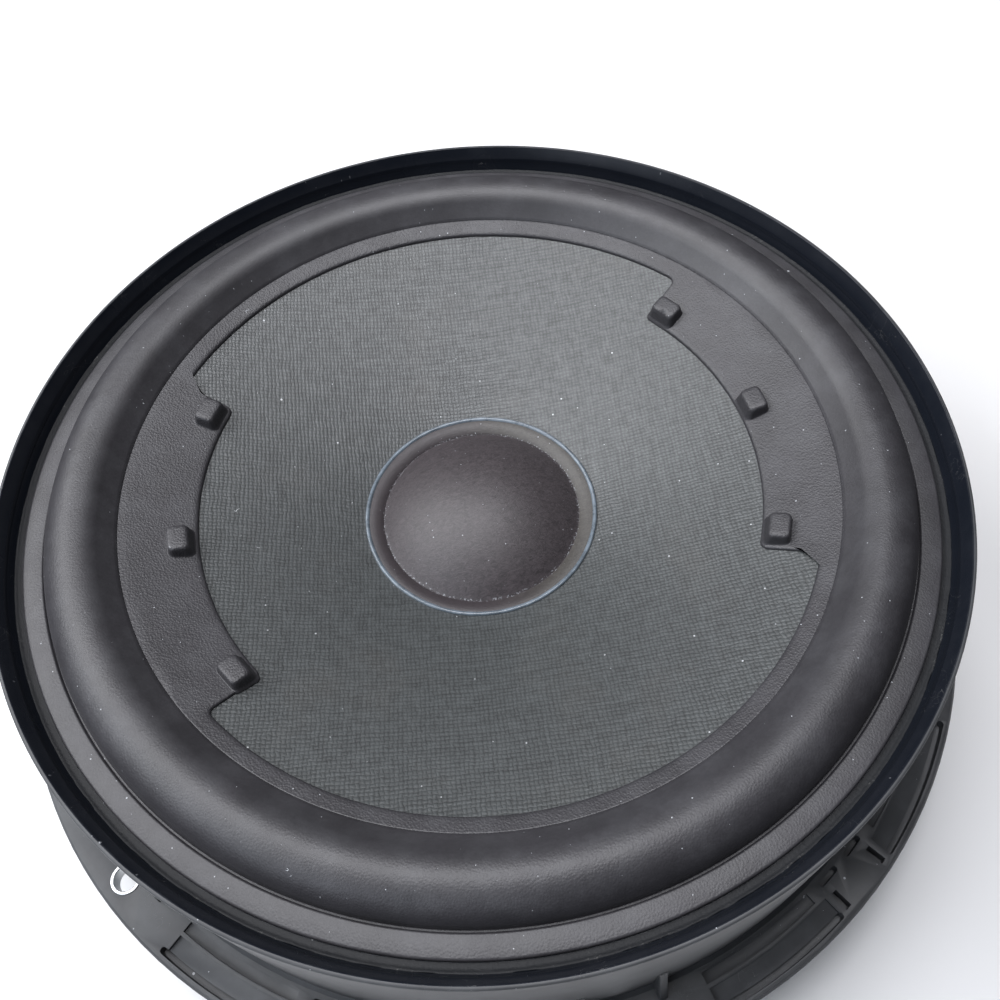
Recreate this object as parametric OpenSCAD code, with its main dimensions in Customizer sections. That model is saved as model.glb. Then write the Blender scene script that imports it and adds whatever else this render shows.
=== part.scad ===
// Shallow eight-inch-class car subwoofer driver with a tall moulded collar.
// Origin: centre of the flange's sealing face. +Z points out of the cone.
// +X runs through the middle of one lobe of the rubber bumper ring.

/* [Basket] */
// Outside diameter of the raised collar
collar_d = 220; // [216:0.5:222]
// Height of the collar's lip above the flange's sealing face
collar_h = 52; // [50:0.5:56]
// Outside diameter of the mounting flange
flange_d = 245; // [243:0.5:252]
// Thickness of the mounting flange
flange_t = 4; // [3.6:0.1:5]
// Wall thickness of the collar
wall_t = 2.6; // [2.2:0.1:3]
// Depth of the surround's landing below the collar's lip
landing_drop = 6.5; // [6:0.1:7]
// Number of arms between the collar and the motor
arm_count = 6; // [3, 6]
// Width of an arm
arm_w = 15; // [12:0.5:18]

/* [Mounting] */
// Bolt circle diameter of the mounting holes
bolt_circle_d = 232.6; // [232:0.1:234]
// Inside radius of a steel compression sleeve
sleeve_bore_r = 2.75; // [2.5:0.05:3]
// Outside radius of a steel compression sleeve
sleeve_r = 3.6; // [3.4:0.05:3.8]
// Thickness of the foam gasket under the flange
gasket_t = 2.5; // [2:0.1:3]

/* [Cone] */
// Height of the cone's outer edge above the sealing face
cone_edge_z = 46.8; // [46.6:0.1:47]
// Outer radius of the cone
cone_r = 82.9; // [82.5:0.1:83]
// Rise of the cone per unit of radius
cone_slope = 0.355; // [0.34:0.005:0.37]
// Thickness of the cone
cone_t = 0.7; // [0.6:0.05:0.8]
// Height of the dust cap's dome above its foot
cap_h = 8.6; // [7:0.1:10]
// Foot radius of the dust cap's dome
cap_r = 24.3; // [24:0.1:25]
// Outer radius of the adhesive bead around the dust cap
bead_r = 29; // [28.6:0.1:29.5]

/* [Rubber] */
// Radius where the surround's roll starts at its outer side
roll_out_r = 99.5; // [99:0.1:100]
// Radius where the surround's roll ends at its inner side
roll_in_r = 83.2; // [83.2:0.1:83.6]
// Height of the roll above the surround's outer flange
roll_h = 6.8; // [6:0.1:8]
// Thickness of the surround's rubber
rubber_t = 1.2; // [1:0.1:1.3]
// Outer radius of the surround's outer flange
surround_r = 104.8; // [104.5:0.1:105]
// Inner radius of the bumper ring between its lobes
band_r = 79.3; // [78:0.1:80]
// Inner radius of the bumper ring's two lobes
lobe_r = 66.8; // [66:0.1:68]
// Half the angle that one lobe covers
lobe_half_a = 33.5; // [33:0.1:35]
// Angle between neighbouring bumper pads
pad_pitch_a = 30; // [29:0.1:31]
// Radius of the bumper pads' centres
pad_r = 70.2; // [69:0.1:71]
// Height of a bumper pad above the rubber
pad_h = 3; // [2:0.1:4]

/* [Motor] */
// Outside diameter of the ferrite magnet
magnet_d = 100; // [98:1:104]
// Height of the ferrite magnet
magnet_h = 18; // [16:0.5:20]
// Thickness of the steel top plate
top_plate_t = 6; // [5:0.5:6]
// Thickness of the yoke's back plate
back_plate_t = 6; // [5:0.5:8]
// Radius of the pole piece
pole_r = 24; // [23.8:0.1:24]
// Radius of the vent through the pole piece
vent_r = 7; // [6:0.5:8]
// Inside radius of the voice coil former
former_r = 24.8; // [24.7:0.1:24.8]
// Height of the voice coil winding
winding_h = 20; // [18:1:20]

/* [Hidden] */
$fn = 96;
eps = 0.01;

collar_r = collar_d / 2;
flange_r = flange_d / 2;
wall_in_r = collar_r - wall_t;
landing_z = collar_h - landing_drop;
foot_r = collar_r + 0.6;
ledge_z = landing_z + 2.45;
landing_r = 99.6;
groove_r = 106.7;
bolt_a0 = 30;
bolt_count = 6;
bolt_r = bolt_circle_d / 2;
sector_a = 360 / bolt_count;

hub_in_r = 33;
hub_r = 57;
seat_z = 12.6;
plate_top_z = 2;
plate_bottom_z = plate_top_z - top_plate_t;
magnet_bottom_z = plate_bottom_z - magnet_h;
yoke_bottom_z = magnet_bottom_z - back_plate_t;
magnet_r = magnet_d / 2;
gap_r = 26.6;
screw_r = 42;
screw_count = 6;
former_t = 0.4;
former_out_r = former_r + former_t;
winding_t = 0.85;
winding_mid_z = (plate_top_z + plate_bottom_z) / 2;
winding_z0 = winding_mid_z - winding_h / 2;
former_z0 = winding_z0 - 1;
rubber_skin_t = 0.9;
spider_z = 13.2;
pad_rear_t = 3;

socket_x0 = -105;
socket_x1 = -84;
socket_w = 20;
socket_z0 = -15;
socket_z1 = -3;
socket_wall = 2;
contact_y = 3.6;
contact_w = 2.8;
contact_t = 0.8;
blade_z = -9.4;
bar_z = 1.2;
riser_x = -88;
lug_x = -62;
lug_top_z = 15.8;
cut = 0.1;
eyelet_r = 46;

// Route of a tinsel lead: a cubic curve from its lug to its eyelet under the cone
lead_r = 0.8;
lead_sides = 8;
lead_rings = 24;
lead_from = [-61.6, 3.6, 15.8];
lead_ctrl_a = [-63, 4, 30];
lead_ctrl_b = [-51, 5, 16];
lead_to = [-46.2, 6, 30.3];

// Height of the cone's front surface at radius r
function cone_top(r) = cone_edge_z - (cone_r - r) * cone_slope;
// Radius of the collar's outer face at height z
function wall_r(z) = foot_r - (foot_r - collar_r) * (z - flange_t - 1) / (collar_h - flange_t - 1.5);
// Point at radius r and angle a
function polar(r, a) = [r * cos(a), r * sin(a)];
// Points along an elliptical arc in the (radius, height) plane
function arc(cr, cz, ra, rb, a0, a1, n) =
  [for (i = [0:n]) let (a = a0 + (a1 - a0) * i / n) [cr + ra * cos(a), cz + rb * sin(a)]];
// Points of a list in reverse order
function flip(list) = [for (i = [len(list) - 1:-1:0]) list[i]];

// A block bent round the axis between two radii and two angles
module sector(r0, r1, a0, a1, z0, z1) {
  rotate([0, 0, a0])
    rotate_extrude(angle = a1 - a0)
      translate([r0, z0])
        square([r1 - r0, z1 - z0]);
}

// A flat ring
module ring(r0, r1, z0, z1) {
  rotate_extrude()
    translate([r0, z0])
      square([r1 - r0, z1 - z0]);
}

// A curved slot with round ends, between two angles and two heights
module arc_slot(r, w, a0, a1, z0, z1) {
  side_n = 10;
  cap_n = 6;
  outer = [for (i = [0:side_n]) polar(r + w / 2, a0 + (a1 - a0) * i / side_n)];
  inner = [for (i = [0:side_n]) polar(r - w / 2, a1 - (a1 - a0) * i / side_n)];
  far_cap = [for (i = [1:cap_n - 1]) polar(r, a1) + w / 2 * polar(1, a1 + 180 * i / cap_n)];
  near_cap = [for (i = [1:cap_n - 1]) polar(r, a0) + w / 2 * polar(1, a0 + 180 + 180 * i / cap_n)];
  translate([0, 0, z0])
    linear_extrude(z1 - z0)
      polygon(concat(outer, far_cap, inner, near_cap));
}

// Children copied round the axis
module around(count, start = 0) {
  for (i = [0:count - 1])
    rotate([0, 0, start + i * 360 / count])
      children();
}

// ---------- basket ----------

// Raised wall with a rounded lip
module collar() {
  lip_r = 0.5;
  lip = arc(collar_r - lip_r, collar_h - lip_r, lip_r, lip_r, 0, 90, 6);
  color([0.13, 0.13, 0.14])
    rotate_extrude($fn = 180)
      polygon(concat(
        [[wall_in_r, 0], [foot_r, 0], [foot_r, flange_t + 1]],
        lip,
        [[collar_r - 0.9, collar_h - 0.05], [collar_r - 2.3, collar_h - 3], [wall_in_r, ledge_z]]
      ));
}

// Ledge inside the collar that carries the surround
module landing() {
  color([0.13, 0.13, 0.14])
    rotate_extrude($fn = 180)
      polygon([
        [wall_in_r, landing_z - 7], [wall_in_r, ledge_z], [groove_r, landing_z],
        [landing_r, landing_z], [landing_r, landing_z - 2.4], [landing_r + 1, landing_z - 3]
      ]);
}

// Shallow pockets, their deep outer slots and the centre catch of one flange sector
module flange_pockets() {
  for (s = [-1, 1]) {
    sector(115.9, 119.7, min(s * 4.4, s * 20.6), max(s * 4.4, s * 20.6), flange_t - 0.9, flange_t + 1);
    sector(112.6, 115.0, min(s * 5.6, s * 20.6), max(s * 5.6, s * 20.6), flange_t - 0.9, flange_t + 1);
    arc_slot(120.3, 1.5, min(s * 4.6, s * 21), max(s * 4.6, s * 21), 1, flange_t + 1);
    rotate([0, 0, s * 3.2])
      translate([116.2, -0.75, 1])
        cube([4.2, 1.5, flange_t]);
    arc_slot(113.4, 1.3, min(s * 1.2, s * 3.4), max(s * 1.2, s * 3.4), 1, flange_t + 1);
  }
}

// Mounting flange with a fillet at the collar's foot; the sector over the plug socket is plain
module flange() {
  color([0.13, 0.13, 0.14])
    difference() {
      rotate_extrude($fn = 180)
        polygon([
          [foot_r, 0], [flange_r - 0.6, 0], [flange_r, 0.6], [flange_r, flange_t - 0.6],
          [flange_r - 0.6, flange_t], [foot_r + 1, flange_t], [foot_r, flange_t + 1]
        ]);
      for (i = [0:bolt_count - 1])
        if (i != bolt_count / 2)
          rotate([0, 0, i * sector_a])
            flange_pockets();
      around(bolt_count, bolt_a0)
        translate([bolt_r, 0, -1])
          cylinder(r = sleeve_r, h = flange_t + 2);
    }
}

// Gussets that brace the collar on the flange, one each side of every bolt
module gussets() {
  top_z = 20;
  color([0.13, 0.13, 0.14])
    for (a = [bolt_a0:sector_a:bolt_a0 + 359])
      for (s = [-4.5, 4.5])
        rotate([0, 0, a + s])
          rotate([90, 0, 0])
            translate([0, 0, -0.9])
              linear_extrude(1.8)
                polygon([
                  [foot_r + 1, flange_t], [114.2, flange_t], [wall_r(top_z), top_z],
                  [foot_r, flange_t + 1]
                ]);
}

// One channel-shaped arm with its ribs on the rear side
module arm() {
  plate_z = 6.6;
  plate_t = 2.6;
  r0 = hub_r - 2;
  r1 = wall_in_r + 1;
  rib_t = 2.2;
  translate([r0, -arm_w / 2, plate_z])
    cube([r1 - r0, arm_w, plate_t]);
  for (s = [-1, 1])
    translate([r0, s * (arm_w - rib_t) / 2 - rib_t / 2, 0.6])
      cube([r1 - r0, rib_t, plate_z - 0.6 + eps]);
  for (x = [70, 82, 94])
    translate([x, -arm_w / 2 + 1, bar_z + contact_t])
      cube([1.6, arm_w - 2, plate_z - bar_z - contact_t + eps]);
}

// Arms between the motor seat and the collar; the one over the plug socket has a boss for it
module arms() {
  color([0.13, 0.13, 0.14])
    difference() {
      union() {
        around(arm_count)
          arm();
        translate([-101, -8, -3])
          cube([15, 16, 10]);
      }
      translate([0, 0, -5])
        cylinder(r = hub_r, h = 20, $fn = 120);
      difference() {
        translate([0, 0, -5])
          cylinder(r = wall_in_r + 5, h = 20, $fn = 180);
        translate([0, 0, -6])
          cylinder(r = wall_in_r, h = 22, $fn = 180);
      }
      for (s = [-1, 1])
        translate([riser_x - cut, s * contact_y - contact_w / 2 - cut, -4])
          cube([3, contact_w + 2 * cut, 4 + bar_z + contact_t + cut]);
      for (s = [-1, 1])
        translate([lug_x - cut, s * contact_y - contact_w / 2 - cut, 0])
          cube([contact_t + 2 * cut, contact_w + 2 * cut, 12]);
    }
}

// Turned seat that holds the top plate, the spider and the arms' inner ends
module motor_seat() {
  color([0.13, 0.13, 0.14])
    difference() {
      rotate_extrude($fn = 120)
        polygon([
          [hub_in_r, plate_top_z], [48.3, plate_top_z], [48.3, -2], [51.5, -2], [54.5, 0.6],
          [hub_r, 0.6], [hub_r, seat_z + 1.6], [56, seat_z + 1.6], [56, seat_z],
          [49.6, seat_z], [49.6, seat_z - 1.6], [53, seat_z - 2.6], [53, 5], [hub_in_r, 5]
        ]);
      around(screw_count, bolt_a0)
        translate([screw_r, 0, 0])
          cylinder(r = 2.3, h = 8);
      around(arm_count, bolt_a0)
        translate([50, -7, 5.6])
          cube([10, 14, 3.6]);
    }
}

module mounting_gasket() {
  color([0.08, 0.08, 0.085])
    ring(108, 112.4, -gasket_t, 0);
}

module compression_sleeves() {
  color([0.72, 0.72, 0.7])
    around(bolt_count, bolt_a0)
      translate([bolt_r, 0, 0])
        difference() {
          cylinder(r = sleeve_r, h = flange_t + 0.2);
          translate([0, 0, -1])
            cylinder(r = sleeve_bore_r, h = flange_t + 3);
        }
}

// ---------- suspension ----------

module surround() {
  top_z = landing_z + rubber_t;
  crest_r = 92;
  foot_z = top_z + 1;
  out_w = roll_out_r - crest_r;
  in_w = 7.2;
  under_h = roll_h - rubber_t;
  outer = concat(
    arc(crest_r, top_z, out_w, roll_h, 0, 90, 10),
    arc(crest_r, top_z, in_w, roll_h, 98, 140, 5)
  );
  inner = concat(
    arc(crest_r, top_z, in_w - rubber_t, under_h, 140, 98, 5),
    arc(crest_r, top_z, out_w - rubber_t, under_h, 90, 0, 10)
  );
  color([0.16, 0.16, 0.17])
    rotate_extrude($fn = 180)
      polygon(concat(
        [[roll_out_r - rubber_t, landing_z], [surround_r, landing_z], [surround_r, top_z]],
        outer,
        [[roll_in_r, foot_z], [roll_in_r, top_z - 0.6], [roll_in_r + rubber_t, top_z - 0.6]],
        inner
      ));
}

module surround_adhesive() {
  color([0.55, 0.55, 0.5])
    rotate_extrude($fn = 180)
      polygon([[surround_r + 0.3, landing_z], [groove_r - 0.1, landing_z], [groove_r - 0.2, landing_z + 0.5]]);
}

// Corrugated centring disc
module spider() {
  in_r = 25.9;
  wave_r0 = 28.5;
  wave_r1 = 48.5;
  waves = 4;
  amp = 1.5;
  t = 0.5;
  steps = 40;
  wave = [for (i = [0:steps]) let (u = i / steps)
    [wave_r0 + (wave_r1 - wave_r0) * u, spider_z - t / 2 + amp * sin(360 * waves * u)]];
  top = [for (p = wave) [p[0], p[1] + t / 2]];
  under = [for (p = wave) [p[0], p[1] - t / 2]];
  color([0.72, 0.6, 0.36])
    rotate_extrude()
      polygon(concat(
        [[in_r, spider_z - t]], under, [[55.7, spider_z - t], [55.7, spider_z]],
        flip(top), [[in_r, spider_z]]
      ));
}

// Card ring that clamps the spider's edge to its seat
module spider_ring() {
  color([0.1, 0.1, 0.1])
    ring(50.4, 55.8, spider_z, spider_z + 1.2);
}

// ---------- motor ----------

module top_plate() {
  color([0.6, 0.61, 0.62])
    difference() {
      rotate_extrude()
        polygon([
          [gap_r, plate_bottom_z], [47.4, plate_bottom_z], [48, plate_bottom_z + 0.6],
          [48, plate_top_z - 0.6], [47.4, plate_top_z], [gap_r + 0.6, plate_top_z],
          [gap_r, plate_top_z - 0.6]
        ]);
      around(screw_count, bolt_a0)
        translate([screw_r, 0, -10])
          cylinder(r = 2, h = 20);
    }
}

module motor_screws() {
  color([0.25, 0.25, 0.26])
    around(screw_count, bolt_a0)
      translate([screw_r, 0, 0])
        difference() {
          union() {
            translate([0, 0, plate_bottom_z + 0.5])
              cylinder(r = 1.95, h = 5 - plate_bottom_z);
            translate([0, 0, 5])
              cylinder(r = 3.6, h = 2.4);
          }
          translate([0, 0, 6])
            cylinder(r = 1.6, h = 3, $fn = 6);
        }
}

module magnet() {
  c = 1;
  color([0.17, 0.17, 0.18])
    rotate_extrude()
      polygon([
        [28.5, magnet_bottom_z], [magnet_r - c, magnet_bottom_z], [magnet_r, magnet_bottom_z + c],
        [magnet_r, plate_bottom_z - c], [magnet_r - c, plate_bottom_z], [28.5, plate_bottom_z]
      ]);
}

module t_yoke() {
  color([0.62, 0.63, 0.64])
    rotate_extrude()
      polygon([
        [vent_r, yoke_bottom_z + 1], [9, yoke_bottom_z + 1], [9, yoke_bottom_z],
        [46.5, yoke_bottom_z], [48, yoke_bottom_z + 1.5], [48, magnet_bottom_z],
        [28, magnet_bottom_z], [27.4, magnet_bottom_z - 2.4], [24.4, magnet_bottom_z - 2.4],
        [pole_r, magnet_bottom_z - 2], [pole_r, 3], [22.5, 4.2], [9, 4.2], [vent_r, 2]
      ]);
}

// Copper sleeve over the top of the pole
module shorting_sleeve() {
  color([0.72, 0.42, 0.24])
    ring(pole_r, pole_r + 0.3, plate_bottom_z - 3, 3);
}

module vent_screen() {
  color([0.2, 0.2, 0.2])
    difference() {
      translate([0, 0, yoke_bottom_z + 0.4])
        cylinder(r = 8.9, h = 0.6);
      for (ring_n = [0:2])
        for (k = [0:max(1, ring_n * 6) - 1])
          rotate([0, 0, ring_n == 0 ? 0 : k * 360 / (ring_n * 6)])
            translate([ring_n * 2.4, 0, yoke_bottom_z])
              cylinder(r = 0.8, h = 2, $fn = 16);
    }
}

module rear_pad() {
  color([0.07, 0.07, 0.07])
    ring(33, 44, yoke_bottom_z - pad_rear_t, yoke_bottom_z);
}

// ---------- electrical ----------

module connector_housing() {
  color([0.12, 0.12, 0.13])
    difference() {
      union() {
        translate([socket_x0, -socket_w / 2, socket_z0])
          cube([socket_x1 - socket_x0, socket_w, socket_z1 - socket_z0]);
        translate([socket_x0 + 1, -2.5, socket_z0 - 1.4])
          cube([4, 5, 1.4 + eps]);
        for (s = [-1, 1])
          translate([socket_x0 + 2, s * (socket_w / 2 + 0.5) - 0.5, socket_z0 + 3])
            cube([12, 1, 1.6]);
      }
      translate([socket_x0 - 1, -socket_w / 2 + socket_wall, socket_z0 + socket_wall])
        cube([15, socket_w - 2 * socket_wall, socket_z1 - socket_z0 - 2 * socket_wall]);
      for (s = [-1, 1])
        translate([socket_x0 - 1, s * contact_y - contact_w / 2 - cut, blade_z - cut])
          cube([riser_x - socket_x0 + 1.5, contact_w + 2 * cut, contact_t + 2 * cut]);
      for (s = [-1, 1])
        translate([riser_x - cut, s * contact_y - contact_w / 2 - cut, blade_z - cut])
          cube([contact_t + 2 * cut, contact_w + 2 * cut, 10]);
    }
}

// Stamped contact: plug blade, riser, bus bar under the arm and solder lug; side is -1 or 1
module contact(side) {
  blade_x = -98.4;
  color([0.82, 0.76, 0.5])
    translate([0, side * contact_y - contact_w / 2, 0]) {
      translate([blade_x, 0, blade_z])
        cube([riser_x - blade_x + contact_t, contact_w, contact_t]);
      translate([riser_x, 0, blade_z])
        cube([contact_t, contact_w, bar_z - blade_z + contact_t]);
      translate([riser_x, 0, bar_z])
        cube([lug_x - riser_x + contact_t, contact_w, contact_t]);
      translate([lug_x, 0, bar_z])
        cube([contact_t, contact_w, lug_top_z - bar_z]);
    }
}

module contact_plus() {
  contact(1);
}

module contact_minus() {
  contact(-1);
}

// Point on a tinsel lead's centre line, t from 0 to 1
function bezier(t) =
  pow(1 - t, 3) * lead_from + 3 * t * pow(1 - t, 2) * lead_ctrl_a
  + 3 * t * t * (1 - t) * lead_ctrl_b + pow(t, 3) * lead_to;
function unit(v) = v / norm(v);
// Direction of the lead at t
function heading(t) = unit(bezier(min(1, t + 0.01)) - bezier(max(0, t - 0.01)));

// A round lead swept along its route; side is -1 or 1
module tinsel_lead(side) {
  points = [for (i = [0:lead_rings]) let (
      t = i / lead_rings,
      d = heading(t),
      u = unit(cross(d, [0, 1, 0])),
      v = cross(d, u)
    ) for (k = [0:lead_sides - 1]) let (a = 360 * k / lead_sides)
      bezier(t) + lead_r * (cos(a) * u + sin(a) * v)];
  walls = [for (i = [0:lead_rings - 1]) for (k = [0:lead_sides - 1]) let (n = (k + 1) % lead_sides)
    [i * lead_sides + k, i * lead_sides + n, (i + 1) * lead_sides + n, (i + 1) * lead_sides + k]];
  first = [for (k = [lead_sides - 1:-1:0]) k];
  last = [for (k = [0:lead_sides - 1]) lead_rings * lead_sides + k];
  mirror([0, side < 0 ? 1 : 0, 0])
    polyhedron(points, concat([first], walls, [last]));
}

module tinsel_leads() {
  color([0.7, 0.5, 0.3]) {
    tinsel_lead(1);
    tinsel_lead(-1);
  }
}

// ---------- moving assembly ----------

module cone() {
  neck_r = former_out_r;
  color([0.24, 0.25, 0.26])
    rotate_extrude($fn = 180)
      polygon([
        [neck_r, cone_top(neck_r + 1) - 4], [neck_r + cone_t, cone_top(neck_r + 1) - 4],
        [neck_r + cone_t + 0.5, cone_top(neck_r + 1.2) - cone_t],
        [cone_r, cone_edge_z - cone_t], [cone_r, cone_edge_z], [neck_r, cone_top(neck_r)]
      ]);
}

// Tapered rubber pad that stops the cone against a grille
module bumper_pad() {
  foot_l = 5.8;
  head_l = 4.6;
  pad_w = 7.5;
  sink = 0.4;
  r0 = pad_r - foot_l / 2;
  r1 = pad_r + foot_l / 2;
  top_z = cone_top(pad_r) + rubber_skin_t + pad_h;
  translate([0, pad_w / 2, 0])
    rotate([90, 0, 0])
      linear_extrude(pad_w)
        polygon([
          [r0, cone_top(r0) + sink], [r1, cone_top(r1) + sink],
          [pad_r + head_l / 2, top_z + 0.4], [pad_r - head_l / 2, top_z - 0.4]
        ]);
}

// Rubber skin on the cone's edge, with two lobes that carry the bumper pads
module bumper_ring() {
  gap_a = 180 - 2 * lobe_half_a;
  color([0.15, 0.15, 0.16]) {
    difference() {
      rotate_extrude($fn = 180)
        polygon([
          [lobe_r, cone_top(lobe_r)], [cone_r, cone_top(cone_r)],
          [cone_r, cone_top(cone_r) + rubber_skin_t], [lobe_r, cone_top(lobe_r) + rubber_skin_t]
        ]);
      for (side = [0, 180])
        sector(lobe_r - 5, band_r, side + lobe_half_a, side + lobe_half_a + gap_a, 30, 60);
    }
    for (side = [0, 180])
      for (k = [-1:1])
        rotate([0, 0, side + k * pad_pitch_a])
          bumper_pad();
  }
}

module dust_cap() {
  t = 0.6;
  foot_z = cone_top(cap_r) + 0.5;
  sphere_r = (cap_r * cap_r + cap_h * cap_h) / (2 * cap_h);
  half_a = asin(cap_r / sphere_r);
  centre_z = foot_z + cap_h - sphere_r;
  dome = arc(0, centre_z, sphere_r, sphere_r, 90 - half_a, 90, 16);
  inside = arc(0, centre_z, sphere_r - t, sphere_r - t, 90, 90 - half_a * 0.985, 16);
  brim_r = bead_r - 1.4;
  color([0.17, 0.15, 0.15])
    rotate_extrude()
      polygon(concat(
        [[brim_r, cone_top(brim_r)], [brim_r, cone_top(brim_r) + 0.6]],
        dome, inside, [[cap_r + 0.4, cone_top(cap_r + 0.4)]]
      ));
}

module cap_adhesive() {
  mid_r = bead_r - 0.7;
  color([0.35, 0.4, 0.45])
    rotate_extrude()
      polygon(concat(
        [[bead_r - 1.4, cone_top(bead_r - 1.4)], [bead_r, cone_top(bead_r)]],
        arc(mid_r, cone_top(mid_r) + 0.25, 0.7, 0.6, 0, 180, 8)
      ));
}

// Paper wrap and glue fillet that tie the cone's neck to the former
module neck_collar() {
  z1 = cone_top(former_out_r + 1) - 4.2;
  color([0.45, 0.33, 0.2])
    ring(former_out_r, former_out_r + 0.25, spider_z - 3.5, z1);
}

module coil_former() {
  color([0.78, 0.6, 0.3])
    ring(former_r, former_out_r, former_z0, cone_top(former_out_r) - 0.4);
}

module coil_winding() {
  color([0.7, 0.35, 0.15])
    ring(former_out_r, former_out_r + winding_t, winding_z0, winding_z0 + winding_h);
}

// Flat copper strips from the eyelets along the cone's back to the former
module coil_leads() {
  tilt = atan(cone_slope);
  start_r = 28;
  color([0.75, 0.45, 0.2])
    for (s = [-1, 1])
      translate([0, s * 6, 0])
        mirror([1, 0, 0])
          translate([start_r, -0.6, cone_top(start_r) - cone_t])
            rotate([0, -tilt, 0])
              translate([0, 0, -0.32])
                cube([(eyelet_r - start_r) / cos(tilt), 1.2, 0.3]);
}

// Solder eyelets under the cone, where the tinsel leads arrive
module lead_eyelets() {
  tilt = atan(cone_slope);
  color([0.75, 0.75, 0.72])
    for (s = [-1, 1])
      translate([-eyelet_r, s * 6, cone_top(eyelet_r) - cone_t - 0.34])
        rotate([0, tilt, 0])
          translate([0, 0, -0.7])
            cylinder(r = 2, h = 0.65, $fn = 32);
}

collar();
landing();
flange();
gussets();
arms();
motor_seat();
mounting_gasket();
compression_sleeves();
surround();
surround_adhesive();
spider();
spider_ring();
top_plate();
motor_screws();
magnet();
t_yoke();
shorting_sleeve();
vent_screen();
rear_pad();
connector_housing();
contact_plus();
contact_minus();
tinsel_leads();
cone();
bumper_ring();
dust_cap();
cap_adhesive();
neck_collar();
coil_former();
coil_winding();
coil_leads();
lead_eyelets();
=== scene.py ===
"""Looks of a car subwoofer speaker, built around its CAD frame."""

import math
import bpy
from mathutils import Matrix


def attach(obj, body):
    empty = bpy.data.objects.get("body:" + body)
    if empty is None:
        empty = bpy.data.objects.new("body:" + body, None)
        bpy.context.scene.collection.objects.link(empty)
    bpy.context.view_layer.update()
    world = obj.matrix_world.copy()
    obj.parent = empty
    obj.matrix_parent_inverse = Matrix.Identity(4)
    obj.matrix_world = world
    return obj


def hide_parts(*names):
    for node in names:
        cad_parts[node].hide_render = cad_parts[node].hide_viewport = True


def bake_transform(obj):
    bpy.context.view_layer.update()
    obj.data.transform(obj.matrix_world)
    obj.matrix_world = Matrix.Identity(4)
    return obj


bl_info = {
    "name": "Car Subwoofer Speaker",
    "version": (1, 0, 0),
    "blender": (4, 5, 0),
    "location": "3D View > Sidebar > Subwoofer",
    "description": "Builds the finished pieces of a car subwoofer speaker around its CAD frame",
    "category": "Add Mesh",
}

from functools import partialmethod
from typing import NamedTuple

import bmesh
import bpy
import numpy as np
from bpy.props import FloatProperty, FloatVectorProperty, IntProperty, PointerProperty
from mathutils import Matrix, Vector

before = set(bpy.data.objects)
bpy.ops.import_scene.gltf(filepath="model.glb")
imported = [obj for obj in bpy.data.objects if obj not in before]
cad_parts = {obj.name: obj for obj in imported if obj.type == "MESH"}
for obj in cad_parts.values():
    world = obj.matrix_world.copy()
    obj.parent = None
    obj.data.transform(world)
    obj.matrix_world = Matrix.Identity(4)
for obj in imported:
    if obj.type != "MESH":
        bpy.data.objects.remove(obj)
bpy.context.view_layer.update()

MM = 0.001
FIXED = "basket_and_motor"
MOVING = "cone_and_coil"
VIEW_TURN = math.radians(-9)  # the viewer stands this far round from the lobes' axis
BAND_LEAN = 0.4  # millimetres that the rubber's inner edge is set off towards -Y
BOLT_CIRCLE = 116.3  # radius of the circle of mounting bolts, in millimetres
SCREW_CIRCLE = 42.0  # radius of the circle of motor screws
COLLAR_BORE = 107.4  # inner radius of the collar's wall
COIL_BORE = 25.2  # outer radius of the voice coil's former
HALF_STEP, STEP = math.radians(30), math.radians(60)  # first bolt, and from one bolt to the next
LEAD_START, LEAD_END = (-61.6, 3.6, 15.8), (-46.2, 6.0, 30.3)  # from the plug's lug to the cone
NICK = (68.1, 29.9)  # radius and angle of a nick in a pad's top edge


class Lobe(NamedTuple):
    """One lobe of the bumper ring: angles in degrees, radius in millimetres."""
    centre: float
    half: float
    radius: float
    first_pad: float
    pad_step: float


LOBES = (Lobe(0.55, 33.15, 67.0, -28.8, 29.6), Lobe(178.05, 33.75, 66.6, 148.1, 30.4))


# ---------- sizes and colours that a user may change ----------

def length(name, description, default_mm):
    """A length shown in scene units, given here in millimetres."""
    return FloatProperty(name=name, description=description, default=default_mm * MM,
                         unit="LENGTH", precision=4)


def colour(name, description, default):
    """A colour swatch."""
    return FloatVectorProperty(name=name, description=description, default=default,
                               subtype="COLOR", size=3, min=0, max=1)


class SpeakerSizes(bpy.types.PropertyGroup):
    """Main sizes of the pieces seen from the front"""
    lip_height: length("Lip height", "Height of the collar's lip above the sealing face", 52)
    collar_radius: length("Collar radius", "Outer radius of the collar at its lip", 110)
    landing_height: length("Landing height", "Height of the ledge under the surround", 45.5)
    rubber: length("Rubber thickness", "Thickness of the surround", 1.2)
    roll_outer: length("Roll outer radius", "Radius where the roll meets its outer flange", 99.5)
    roll_inner: length("Roll inner radius", "Radius where the roll meets the cone", 83.2)
    roll_height: length("Roll height", "Rise of the roll above its flange", 6.8)
    cone_radius: length("Cone radius", "Outer radius of the cone", 82.9)
    cone_height: length("Cone edge height", "Height of the cone's edge above the sealing face", 46.8)
    band_radius: length("Band radius", "Inner radius of the rubber between the lobes", 79.4)
    pad_radius: length("Pad radius", "Distance of the bumper pads from the axis", 70.2)
    cap_radius: length("Cap radius", "Radius of the dust cap's dome at its foot", 24.3)
    cap_height: length("Cap height", "Rise of the dust cap's dome", 8.6)
    bead_radius: length("Bead radius", "Outer radius of the adhesive bead", 29)
    weave_pitch: length("Weave pitch", "Distance between two threads of the cone's cloth", 0.94)
    cone_slope: FloatProperty(name="Cone slope", description="Rise of the cone per unit of radius",
                              default=0.355)
    segments: IntProperty(name="Segments", description="Facets round each large turned piece",
                          default=288, min=48, max=720)


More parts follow.
